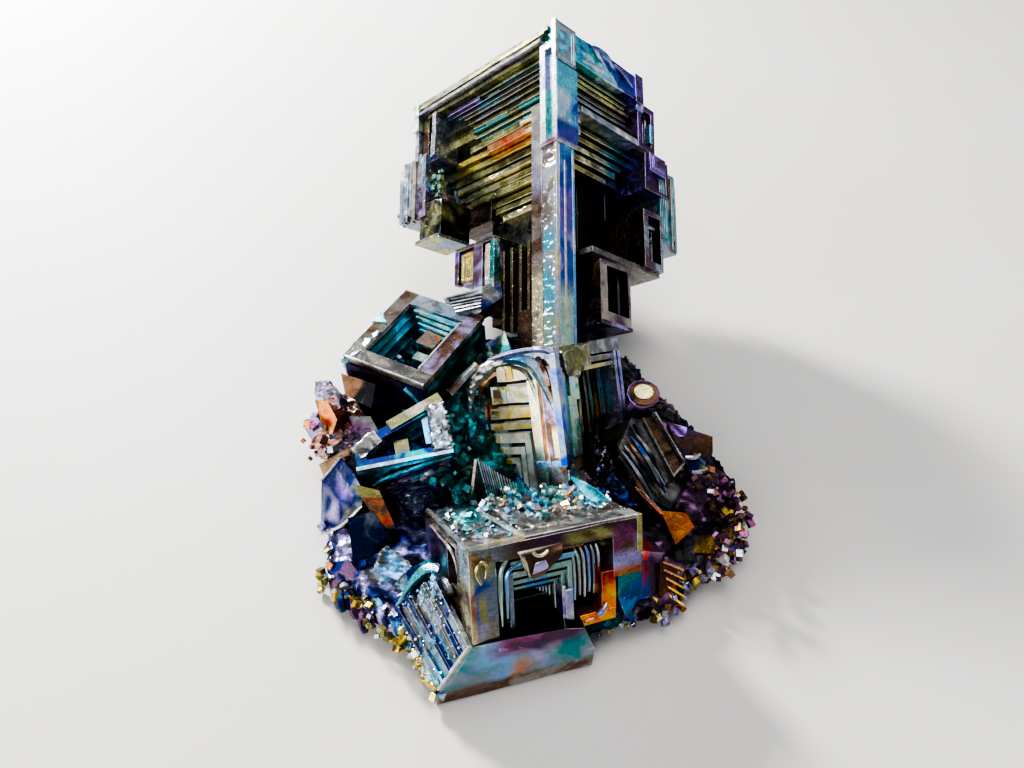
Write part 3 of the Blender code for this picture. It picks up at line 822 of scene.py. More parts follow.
def kneeMaze():
    dice = random.Random(3)
    stock = []
    # painted shade: a dark plate behind the rows darkens the gaps between them
    plate(stock, (5.6, 21.0), (8.0, 16.0), (-12, 16.4), "umber", "soot", 0.4)
    for k, (top, low, near, far, leg) in enumerate(knee["rows"]):
        x = 0.9 + knee["step"] * k
        # painted light: the lower rows and their legs are painted pale pearl for the light they catch; cream
        # and mint are their own colour
        shade = [("cream", "pearl", 0.4), ("khaki", "pearl", 0.6), ("cream", "gold", 0.3),
                 ("cream", "khaki", 0.3)][k] if k < 4 \
            else ("pearl", "cream", 0.3)
        row = plate(stock, (x, x + 5.5), (near, far), (low, top), *shade)
        score(row, {"y": [near + 2.5, near + 5]})
        if leg:
            plate(stock, (x, x + 5), (near, near + leg), (knee["floor"], top), "pearl", "mint", 0.4)
        else:
            plate(stock, (x + 0.5, x + 5), (near + dice.uniform(0, 3), far - dice.uniform(0, 3)),
                  (low - 0.9, low - 0.5),
                  "khaki", "lavender", 0.6)
        for step in range(3):  # broken ends of the rows
            y = far - dice.uniform(0.5, 4.0)
            plate(stock, (x - 0.3, x + 1), (y, y + dice.uniform(0.6, 1.8)),
                  (low + dice.uniform(0, 0.6), top - dice.uniform(0, 0.7)),
                  *dice.choice([("cream", "mint", 0.5), ("khaki", "umber", 0.5), ("gold", "khaki", 0.5)]))
    for k in range(7):  # leaning strips at its foot
        y = 8.6 + 1.15 * k
        beam(stock, (2.4 + 0.3 * k, y, -5.6 + 0.1 * k), (1.0, y - 1.6, -13.0 + 0.3 * k), 0.5, 0.6,
             (1, 0, 0), "pearl", "mint", 0.4)
    plate(stock, (2.4, 3.4), (13.8, 17.0), (-1.0, 5.2), "mint", "silver", 0.4)
    plate(stock, (3.4, 4.2), (12.0, 16.4), (9.5, 10.1), "soot", "umber", 0.4)
    finishPiece("knee_maze", stock, thickFilm, kneePlace, kneeTurn, bevel=0.1, wobble=0.25,
                cuts={"z": [-4, 0, 5, 9], "y": [9, 12, 15]})


def kneeRidge():
    dice = random.Random(8)
    stock = []
    plate(stock, (0.7, 6.0), (0.7, 6.0), (-11, 17.4), "steel", "umber", 0.2)
    plate(stock, (0.5, 2.2), (4.7, 6.7), (-9.6, 13.2), "mint", "cream", 0.2)
    plate(stock, (0.6, 1.6), (3.7, 4.8), (-1.2, 13.6), "umber", "copper", 0.1)
    plate(stock, (0.2, 1.6), (3.4, 3.8), (-2.6, 12.4), "ash", "silver", 0.2)
    plate(stock, (0.1, 1.2), (2.3, 3.5), (-1.4, 13.8), "umber", "lavender", 0.3)
    gilt = plate(stock, (-0.1, 1.2), (1.2, 2.3), (-1.0, 15.5), "umber", "lavender", 0.1)
    score(gilt, {"z": [3, 5, 7, 10, 13]})
    repaint(gilt, lambda point, normal, centre: ("cream", "gold", 0.1) if point.z < 5 else None)
    plate(stock, (-0.1, 1.4), (-0.1, 1.2), (-2.4, 17.6), "steel", "royal", 0.2)
    plate(stock, (1.4, 2.2), (0.1, 1.0), (-1.6, 15.0), "violet", "steel", 0.2)
    plate(stock, (2.2, 3.3), (0.3, 1.2), (-1.4, 14.0), "teal", "steel", 0.4)
    plate(stock, (3.3, 6.2), (0.15, 2.0), (-1.4, 9.6), "mint", "teal", 0.6)
    plate(stock, (4.1, 6.0), (0.0, 1.6), (9.0, 13.0), "mint", "sky", 0.4)
    plate(stock, (0.3, 3.0), (0.2, 7.0), (-2.6, -1.6), "sky", "steel", 0.3)
    plate(stock, (0.9, 3.6), (0.4, 5.0), (-5.2, -3.4), "sky", "silver", 0.5)
    plate(stock, (0.6, 3.8), (0.2, 5.2), (-9.2, -6.2), "sky", "cream", 0.6)
    plate(stock, (3.0, 6.2), (0.4, 1.5), (-3.8, -2.0), "copper", "cream", 0.4)
    plate(stock, (4.0, 6.4), (0.5, 2.0), (-9.0, -4.4), "cream", "teal", 0.7)
    for k in range(9):
        y = 5.2 + 0.55 * k
        beam(stock, (0.9, y, -7.4), (0.1 + dice.uniform(-0.3, 0.3), y + dice.uniform(-0.8, 0.8), -12.6),
             0.35, 0.5, (1, 0, 0), "cream", "mint", 0.6)
    # the hood bends over from the claw on the left down into the ridge
    claw = rail(stock, [(-0.4, 20.0, 8.0), (-0.6, 19.4, 11.4), (-0.2, 17.2, 14.8), (0.5, 14.0, 16.8),
                        (1.0, 11.0, 17.2)], [0.3, 0.8, 1.7, 1.6, 0.5], "ash")
    roughen(claw, 0.3, [(2.4, 0.8), (1.0, 0.4)], "ash", "silver", 0.8)
    rail(stock, [(0.4, 14.6, 17.6), (0.4, 9.0, 18.4), (0.2, 4.4, 18.7), (0.2, 1.4, 18.3), (0.9, 0.2, 17.2)],
         [0.4, 0.7, 0.6, 0.7, 0.4], "steel", "lavender", 0.5)
    plate(stock, (0.5, 3.4), (6.6, 14.4), (16.6, 18.0), "sky", "lavender", 0.4)
    plate(stock, (0.3, 2.6), (0.4, 7.0), (16.8, 18.6), "steel", "plum", 0.4)
    rail(stock, [(0.8, 18.2, 10.4), (0.5, 17.0, 13.0), (1.0, 15.2, 14.8), (1.6, 13.0, 15.2)],
         [0.4, 0.8, 1.0, 0.6], "umber", "copper", 0.3)
    # painted highlight: the pale frost-to-sky rail stands in for the sky-blue sheen under the hood
    rail(stock, [(0.9, 12.6, 17.2), (0.7, 9.6, 17.4), (0.6, 6.2, 16.8), (0.6, 4.0, 15.2), (0.5, 2.8, 12.4),
                 (0.6, 1.6, 9.0),
                 (0.6, 1.0, 5.0)], [0.3, 0.9, 1.3, 1.4, 1.1, 0.9, 0.6], "frost", "sky", 0.1)
    rail(stock, [(1.2, 11.0, 16.2), (1.0, 8.0, 15.6), (0.7, 6.0, 14.0), (0.7, 5.2, 11.0), (0.9, 5.0, 7.0)],
         [0.3, 0.5, 0.5, 0.5, 0.3], "ash", "cream", 0.2)
    rail(stock, [(0.2, 3.8, 17.2), (0.0, 2.6, 15.4), (0.1, 1.8, 12.4), (0.2, 1.7, 8.6)],
         [0.4, 0.8, 0.7, 0.4], "umber", "lavender", 0.1)
    plate(stock, (0.4, 2.4), (17.0, 19.2), (4.6, 9.0), "sky", "silver", 0.2)
    plate(stock, (1.6, 3.6), (14.6, 16.8), (6.6, 10.4), "umber", "copper", 0.3)
    finishPiece("knee_ridge", stock, film, kneePlace, kneeTurn, bevel=0.14, wobble=0.2,
                cuts={"z": [-5, 0, 4, 8, 12]})


def kneeRight():
    dice = random.Random(21)
    stock = []
    plate(stock, (3.6, 13.2), (0.2, 16.0), (14.2, 18.7), "ash", "olive", 0.9)
    patch = facets(stock, [(2.6, -0.3, 17.8), (3.0, -0.3, 13.6), (5.4, -0.2, 11.8), (9.6, -0.2, 13.6),
                           (12.6, -0.2, 14.6), (13.0, -0.3, 18.8),
                           (3, 2, 18.4), (13, 2, 18.6), (6, 2, 12.0), (12, 2, 14.6)], "ash", "olive", 0.9)
    roughen(patch, 0.3, [(2.2, 0.7), (1.0, 0.4)], "ash", "olive", 0.9)
    plate(stock, (13.0, 25.6), (0.2, 12.0), (16.4, 18.9), "steel", "smoke", 1.0)
    plate(stock, (10.6, 25.0), (0.5, 8.0), (14.9, 16.0), "smoke", "ash", 0.5)
    plate(stock, (11.0, 24.0), (1.0, 8.0), (13.6, 14.4), "khaki", "ash", 0.4)
    x = 6.4
    while x < 22.4:
        wide = dice.uniform(0.4, 1.3)
        plate(stock, (x, x + wide), (4.2 + dice.uniform(-0.5, 1.2), 9), (-5, 15.4),
              *dice.choice([("olive", "soot", 0.3), ("smoke", "olive", 0.3), ("olive", "khaki", 0.3),
                            ("soot", "umber", 0.3)]))
        x += wide
    plate(stock, (5.8, 7.0), (1.0, 5.0), (-4, 14.0), "smoke", "olive", 0.4)
    plate(stock, (6.4, 7.8), (0.4, 1.4), (8.6, 13.0), "mint", "teal", 0.5)
    plate(stock, (22.6, 25.8), (0.4, 9.0), (-3, 17.6), "steel", "sky", 0.3)
    for k in range(4):
        plate(stock, (22.4 + 0.85 * k, 22.9 + 0.85 * k), (-0.1 + 0.15 * (k % 2), 1.4), (-2.4 + 0.5 * k, 16.4),
              ["steel", "smoke", "royal", "steel"][k], "lavender", 0.4)
    rail(stock, [(23.0, 0.4, 1.0), (21.6, 0.6, -1.2), (18.4, 0.8, -1.8), (16.6, 1.2, -2.6)],
         [1.1, 1.3, 1.0, 0.5], "steel", "silver", 0.5)
    plate(stock, (15.4, 24.6), (1.4, 9.0), (-9.0, -2.6), "steel", "smoke", 0.8)
    scatter(stock, dice, 26, lambda k: (dice.uniform(15.4, 24), dice.uniform(0.8, 1.8),
                                        dice.uniform(-8.6, -1.6)), (0.6, 1.5),
            [("silver", "steel", 0.8), ("steel", "teal", 0.7), ("smoke", "mint", 0.6)])
    plate(stock, (10.6, 11.6), (0.8, 5.0), (-8, 0.0), "smoke", "olive", 0.4)
    finishPiece("knee_right", stock, film, kneePlace, kneeTurn, bevel=0.12, wobble=0.22,
                cuts={"z": [0, 4, 8, 12]})


kneeMaze()
kneeRidge()
kneeRight()
print("knee ready")

# the front block's own axes: x along its front, y into it, z up its face
frontPlace = (-5.75, 51.8, 12.0)
frontTurn = (-33.6, 10.7, 20.5)


def frontFrame():
    stock = []
    leftBar = plate(stock, (0.0, 4.3), (0.0, 4.6), (-1.0, 14.2), "copper", "ash", 0.1)
    plate(stock, (0.7, 4.3), (4.4, 12.0), (-1.0, 5.2), "umber", "ash", 0.3)
    score(leftBar, {"z": [1, 2.5, 4, 6, 8, 9.5, 11, 12.5], "x": [0.5, 1.1, 1.7, 2.2, 2.8, 3.3], "y": [2.4]})

    def barShade(point, normal, centre):
        if normal.x < -0.5:
            return ("cream", "umber", 0.3) if point.z < 9 else ("silver", "khaki", 0.4)
        if point.x < 0.6:
            return ("cream", "copper", 0.1)
        if point.z < 2.6:
            return ("ash", "lavender", 0.1)
        if point.z < 9.6:
            return ("khaki", "gold", 0.1) if 1.6 < point.x < 2.4 and point.z < 6.4 else ("steel", "royal",
                    0.1)
        return ("khaki", "umber", 0.2) if point.x < 3.4 else ("steel", "umber", 0.2)

    repaint(leftBar, barShade)
    rail(stock, [(1.9, -0.1, 9.2), (1.1, -0.15, 10.4), (1.2, -0.15, 11.9), (2.2, -0.15, 12.7),
                 (2.9, -0.1, 11.6), (2.5, -0.1, 10.0)],
         [0.35] * 6, "olive", "gold", 0.2)
    band = plate(stock, (0.0, 29.0), (0.0, 2.0), (11.9, 14.5), "umber", "plum", 0.1)
    score(band, {"x": [4, 8, 12, 15, 17, 19, 21, 23, 25, 27], "z": [12.7, 13.6]})

    def bandShade(point, normal, centre):
        if point.x < 7:
            return ("ash", "steel", 0.2)
        if point.x > 24 and point.z < 13.8:
            return ("magenta", "plum", 0.1)
        if 16 < point.x < 24 and 12.5 < point.z < 13.8:
            return ("khaki", "umber", 0.1)
        return ("plum", "umber", 0.1) if point.z > 13 else ("umber", "smoke", 0.1)

    repaint(band, bandShade)
    plate(stock, (0.2, 29.1), (0.3, 3.4), (14.3, 14.9), "ash", "silver", 0.6)
    corner = plate(stock, (24.0, 29.2), (0.1, 20.0), (5.2, 14.4), "magenta", "violet", 0.2)
    score(corner, {"z": [6, 7.2, 8.4, 10, 12], "x": [25.5, 27.5]})

    def cornerShade(point, normal, centre):
        if normal.x > 0.5:
            return ("plum", "navy", 0.2)
        if point.z < 7.4:
            return ("orange", "copper", 0.1) if point.z < 6.2 else ("copper", "lavender", 0.1)
        if point.z < 9.4:
            return ("ash", "lavender", 0.1)
        return ("magenta", "umber", 0.1) if point.x < 28 else ("ash", "lavender", 0.1)

    repaint(corner, cornerShade)
    plate(stock, (28.4, 29.4), (-0.1, 0.9), (8.6, 14.9), "silver", "khaki", 0.2)
    # a drip of overgrown metal hangs from the band
    facets(stock, [(7.6, 0, 13.0), (15.4, 0, 13.0), (8.2, -0.5, 12.4), (9.0, -0.6, 9.0), (10.2, -0.5, 8.2),
                   (11.6, -0.6, 8.6), (12.6, -0.6, 9.6),
                   (15.0, -0.4, 11.0), (8, 1.4, 13.0), (15, 1.4, 13.0), (9.4, 1.4, 9.0), (11.6, 1.4, 9.0),
                   (11, -0.9, 10.8)], "umber", "lavender", 0.1)
    rail(stock, [(8.4, -0.5, 12.2), (9.0, -0.6, 10.6), (9.4, -0.5, 8.8)], [0.3, 0.35, 0.2], "khaki", "gold",
         0.1)
    rail(stock, [(10.0, -0.7, 12.6), (10.8, -1.0, 11.4), (12.4, -0.6, 12.4)], [0.3, 0.4, 0.3], "cream",
         "copper", 0.1)
    facets(stock, [(9.6, -1.0, 9.2), (12.4, -1.0, 9.8), (11.8, -1.0, 11.2), (10.0, -1.1, 11.0),
                   (10.8, 0, 8.6), (12.4, 0, 11)], "lavender", "sky", 0.1)
    # body behind, floor lip and right rim of the opening; the opening's floor is a near-black plate, as
    # painted shade
    plate(stock, (0.4, 24.6), (11.4, 20.6), (-2.4, 14.2), "steel", "plum", 0.4)
    plate(stock, (3.6, 29.0), (2.0, 20.4), (12.2, 14.4), "steel", "teal", 0.7)
    plate(stock, (4.0, 16.8), (-0.2, 1.6), (-2.2, -1.0), "magenta", "lavender", 0.1)
    plate(stock, (4.0, 24.0), (1.5, 11.6), (-2.4, -1.2), "shadowBlack", "soot", 0.1)
    plate(stock, (15.4, 16.8), (0.0, 8.0), (-1.9, 5.0), "lavender", "silver", 0.3)
    plate(stock, (15.0, 15.6), (0.2, 8.0), (-1.6, 5.6), "silver", "violet", 0.3)
    amber = plate(stock, (21.9, 24.5), (0.3, 3.4), (-1.2, 6.4), "gold", "orange", 0.1)
    score(amber, {"z": [2.4, 4.2, 5.2]})
    bands(amber, "z", [(3.6, ("orange", "red", 0.1))], ("gold", "orange", 0.1))
    plate(stock, (17.8, 24.4), (0.2, 3.2), (-1.7, 0.2), "gold", "orange", 0.1)
    rail(stock, [(21.0, 0.1, -0.3), (21.9, -0.1, 0.3), (22.6, 0.1, 1.3)], [0.6, 0.7, 0.25], "silver",
         "lavender", 0.1)
    rail(stock, [(18.6, 0.1, -0.9), (20.2, 0.1, -0.7)], [0.25, 0.25], "umber", "copper", 0.1)
    finishPiece("front_frame", stock, film, frontPlace, frontTurn, bevel=0.18, wobble=0.2)


front = {
    # bars of the stepped recess: left end, right end, top, bottom, depth,
    # and where the leg at the right end stops
    "bars": [(6.6, 17.2, 9.3, 8.3, 0.9, 1.6), (6.4, 16.4, 7.7, 6.8, 1.8, 1.2),
             (6.4, 15.6, 6.3, 5.5, 2.7, 0.8)],
}


def frontSteps():
    dice = random.Random(4)
    stock = []
    for k, (left, right, top, low, depth, stop) in enumerate(front["bars"]):
        plate(stock, (left, right), (depth, depth + 3), (low, top), "mint", "sky", 0.1)
        plate(stock, (right - 0.75, right), (depth, depth + 3), (stop, top), "mint", "silver", 0.15)
        plate(stock, (left - 0.1, left + 0.7), (depth, depth + 3), (-0.9, top), "steel", "lavender", 0.1)
        # painted shadow: a dark strip under each bar
        plate(stock, (left, right + 0.4), (depth + 0.6, depth + 4), (low - 0.7, low), "soot", "pine", 0.1)
    rail(stock, [(5.0, 0.7, 1.4), (4.9, 0.5, 5.6), (4.9, 0.5, 9.4), (5.5, 0.5, 11.2), (6.8, 0.7, 12.4)],
         [0.2, 0.5, 0.5, 0.5, 0.3], "mint", "silver", 0.1)
    rail(stock, [(6.0, 0.9, 2.4), (6.1, 0.9, 6.6), (6.0, 0.9, 9.2), (7.2, 0.9, 10.5), (10.4, 0.9, 10.7)],
         [0.3, 0.4, 0.5, 0.5, 0.4], "sky", "mint", 0.1)
    plate(stock, (6.9, 10.6), (0.8, 3), (9.7, 11.2), "mint", "khaki", 0.1)
    plate(stock, (13.6, 17.6), (0.5, 3), (9.9, 10.8), "sky", "mint", 0.1)
    plate(stock, (13.4, 19.4), (0.9, 3), (11.2, 11.7), "copper", "umber", 0.1)
    for k in range(6):  # rounded standing bars on the right
        x = 17.9 + 0.95 * k
        rail(stock, [(x, 2.0 + 0.15 * k, 2.2 + 0.5 * (k % 2)), (x, 1.8 + 0.15 * k, 6.0),
                     (x - 0.1, 1.7 + 0.15 * k, 9.6), (x - 0.6, 2.2, 10.6)],
             [0.34, 0.36, 0.36, 0.2], "mint", ["sky", "steel", "silver"][k % 3], 0.1)
    for k in range(7):  # short bars hanging inside the opening
        x = 11.6 + 0.55 * k
        plate(stock, (x, x + 0.3), (3.6, 5.5), (4.9 - 0.35 * k - dice.uniform(0, 0.5), 5.6), "mint",
              "silver", 0.1)
    # painted shade: near-black steps inside the opening
    for k in range(5):
        plate(stock, (6.8, 15.2), (4.0 + 1.3 * k, 10.8), (-0.9 - 0.1 * k, 0.1 + 0.5 * k), "shadowBlack", "soot", 0.2)
    plate(stock, (6.6, 15.4), (5.5, 6.0), (2.3, 2.7), "teal", "pine", 0.1)
    plate(stock, (6.6, 15.4), (3.2, 3.6), (-0.5, -0.1), "teal", "mint", 0.1)
    # painted shade: a near-black back wall and a dark plate behind the standing bars
    plate(stock, (3.6, 24.0), (8.5, 12.0), (-1.6, 12.4), "shadowBlack", "soot", 0.2)
    plate(stock, (17.4, 23.0), (4.4, 9.0), (5.6, 12.2), "soot", "umber", 0.3)
    finishPiece("front_steps", stock, film, frontPlace, frontTurn, bevel=0.1, wobble=0.12)


def frontTop():
    dice = random.Random(13)
    stock = []
    roughen(plate(stock, (0.1, 9.4), (0.4, 20.0), (13.0, 14.6), "steel"), 0.32, [(2.4, 1.0), (1.0, 0.5)],
            "smoke", "teal", 0.9)
    shelf = facets(stock, [(9.0, 2.0, 14.0), (9.6, 2.6, 15.4), (22.0, 6.0, 15.6), (28.8, 5.0, 14.8),
                           (28.8, 17.0, 14.6), (10.0, 19.0, 15.2),
                           (6.0, 18.0, 15.0), (28.8, 1.0, 14.2), (8, 10, 15.2), (10, 4, 13), (28, 18, 13)],
                           "ash", "silver", 1.0)
    roughen(shelf, 0.36, [(2.8, 1.0), (1.2, 0.6)], "smoke", "ash", 0.9)
    scatter(stock, dice, 90, lambda k: (dice.uniform(0.6, 14), dice.uniform(0.8, 19.4),
                                        14.6 + dice.uniform(-0.3, 0.2)), (0.3, 1.2),
            [("steel", "teal", 0.8), ("teal", "mint", 0.7), ("mint", "steel", 0.8), ("steel", "khaki", 0.8),
             ("lavender", "steel", 0.7)], 0.45)
    scatter(stock, dice, 90, lambda k: (dice.uniform(8, 27), dice.uniform(4, 19.5),
                                        15.3 + dice.uniform(-0.5, 0.3)), (0.3, 1.3),
            [("silver", "cream", 0.8), ("sky", "silver", 0.7), ("mint", "teal", 0.6), ("cyan", "mint", 0.5),
             ("ash", "copper", 0.8)], 0.6)
    for start, end in (((0.2, 0.3, 14.7), (0.2, 20.4, 14.4)), ((0.3, 0.2, 14.8), (9.0, 0.3, 14.8)),
                       ((9.0, 0.4, 15.0), (6.6, 12.0, 15.4))):
        beam(stock, start, end, 0.55, 0.5, (0, 0, 1), "silver", "cream", 0.6)
    # hollow in the left face; its deeper inner walls are painted near black as shade
    left = plate(stock, (-0.1, 4.6), (4.6, 19.6), (3.0, 13.8), "ash", "umber", 0.4)
    sink(left, (-1, 0, 0), [(0.8, 0.9, None), (0.7, 1.4, (0, 0.4, 0.2)), (0.6, 1.2, None)])
    repaint(left, lambda point, normal,
            centre: ("umber", "copper", 0.3) if point.x > 0.6 and normal.x < -0.5
            else ("soot", "umber", 0.3) if point.x > 0.9 else None)
    rail(stock, [(-0.3, 17.4, 12.8), (-0.4, 12.0, 12.9), (-0.2, 6.4, 12.4), (-0.1, 5.2, 10.6),
                 (0.0, 5.6, 8.4)], [0.2, 0.25, 0.3, 0.25, 0.1], "ash", "silver", 0.5)
    plate(stock, (-0.3, 2.0), (18.4, 20.8), (6.0, 14.2), "umber", "lavender", 0.5)
    rail(stock, [(-0.2, 8.4, 4.4), (-0.4, 11.6, 6.0), (-0.4, 14.6, 5.0)], [0.5, 0.9, 0.6], "umber",
         "silver", 0.5)
    finishPiece("front_top", stock, film, frontPlace, frontTurn, bevel=0.12, wobble=0.3)


def frontWedge():
    dice = random.Random(17)
    stock = []
    # places on the ground plan from here on, in mm
    wedge = facets(stock, [(-11.6, 47.9, 0.2), (12.7, 54.2, 0.2), (13.0, 54.8, 4.4), (11.2, 56.2, 8.8),
                           (8.2, 55.2, 10.4),
                           (-5.6, 51.6, 12.0), (-9.6, 49.0, 4.0), (-13.6, 62, 9.6), (-17.4, 60.4, 3.8),
                           (-18.6, 59.6, 0.2),
                           (8, 76, 2), (-12, 74, 3), (-11.4, 48.4, 2.2)], "teal", "sky", 0.1)
    score(wedge, {"z": [2.2, 3.4, 5, 7, 9], "x": [-8, -4, -1, 1, 4, 8]})

    def wedgeShade(point, normal, centre):
        # painted shade: faces turned up under the front block are near black
        if normal.z > 0.5 and normal.y > -0.62:
            return ("shadowBlack", "soot", 0.1)
        if normal.x < -0.4:
            return ("steel", "lavender", 0.8)
        # painted reflection: the band along the bottom is umber, for the table reflected there
        if point.z < 2.8:
            return ("umber", "ash", 0.5)
        if 0 < point.x < 2.4 and point.z < 7:
            return ("copper", "ash", 0.2)
        if point.z > 8 and point.x > -2:
            return ("magenta", "plum", 0.1)
        return ("steel", "teal", 0.2) if point.x < -4 else ("sky", "steel",
                0.2) if point.x < 1 else ("steel", "lavender", 0.2) if point.x < 5 else ("steel", "teal", 0.3)

    repaint(wedge, wedgeShade)
    corners = [Vector(point) for point in ((-5.9, 51.6, 12.2), (-12.0, 63.6, 11.8), (-18.6, 61.2, 4.2),
                                           (-10.8, 48.8, 3.6))]
    outward = (corners[1] - corners[0]).cross(corners[3] - corners[0]).normalized()
    if outward.x > 0:
        outward = -outward
    count = 15
    for k in range(count):
        share = (k + 0.5) / count
        head = corners[1].lerp(corners[2], share) + outward * dice.uniform(-0.1, 0.5)
        tail = corners[0].lerp(corners[3], share) + outward * dice.uniform(-0.1, 0.3)
        start = head.lerp(tail, dice.uniform(-0.04, 0.08))
        beam(stock, start, tail, 0.55 + 0.35 * (k % 2), 1.0, outward,
             *dice.choice([("steel", "teal", 0.6), ("steel", "smoke", 0.7), ("navy", "steel", 0.7),
                           ("smoke", "navy", 0.7), ("ash", "cyan", 0.6)]))
    beam(stock, corners[0] + outward * 0.3, corners[3] + outward * 0.4, 0.5, 0.8, outward, "ash", "silver",
         0.4)
    for k in range(4):
        rail(stock, [(-18.6 + 0.3 * k, 61.8 + 0.5 * k, 5.4 + 0.2 * k),
                     (-16.0, 64.0 + 0.5 * k, 9.4 - 0.2 * k), (-13.0, 65.0 + 0.6 * k, 11.4 - 0.4 * k),
                     (-11.6, 63.8 + 0.6 * k, 12.2 - 0.4 * k)], [0.3, 0.7, 0.6, 0.3], "teal", "navy", 0.4)
    scatter(stock, dice, 60, lambda k: corners[2].lerp(corners[3],
            k / 60) + Vector((dice.uniform(-1.2, 0.2), dice.uniform(-0.8, 0.4), dice.uniform(-3.4, 0.6))),
            (0.5, 1.3), [("khaki", "gold", 0.8), ("silver", "gold", 0.8), ("gold", "cream", 0.8),
                         ("silver", "sky", 0.8)])
    scatter(stock, dice, 30, lambda k: corners[1].lerp(corners[3],
            dice.random()) + outward * 0.6 + Vector((0, 0, dice.uniform(-1, 1))), (0.3, 0.8),
            [("silver", "cyan", 0.5), ("cyan", "sky", 0.5)])
    # tiny grains on the striated slab, coloured pale cyan, sky and silver as painted glints
    scatter(stock, dice, 130, lambda k: corners[1].lerp(corners[2],
            k / 130).lerp(corners[0].lerp(corners[3], k / 130), dice.random() ** 1.5)
            + outward * dice.uniform(0.5, 0.9), (0.15, 0.4),
            [("cyan", "silver", 0.5), ("sky", "silver", 0.5), ("silver", "steel", 0.5),
             ("teal", "cyan", 0.5)])
    finishPiece("front_wedge", stock, film, bevel=0.12, wobble=0.2)


frontFrame()
frontSteps()
frontTop()
frontWedge()
print("front block ready")

hopperPlace = (-31.1, 103.8, 5.0)
hopperTurn = (1.0, -1.5, -28.5)
hopper = {"width": 18.2, "length": 21.4, "top": 17.0}


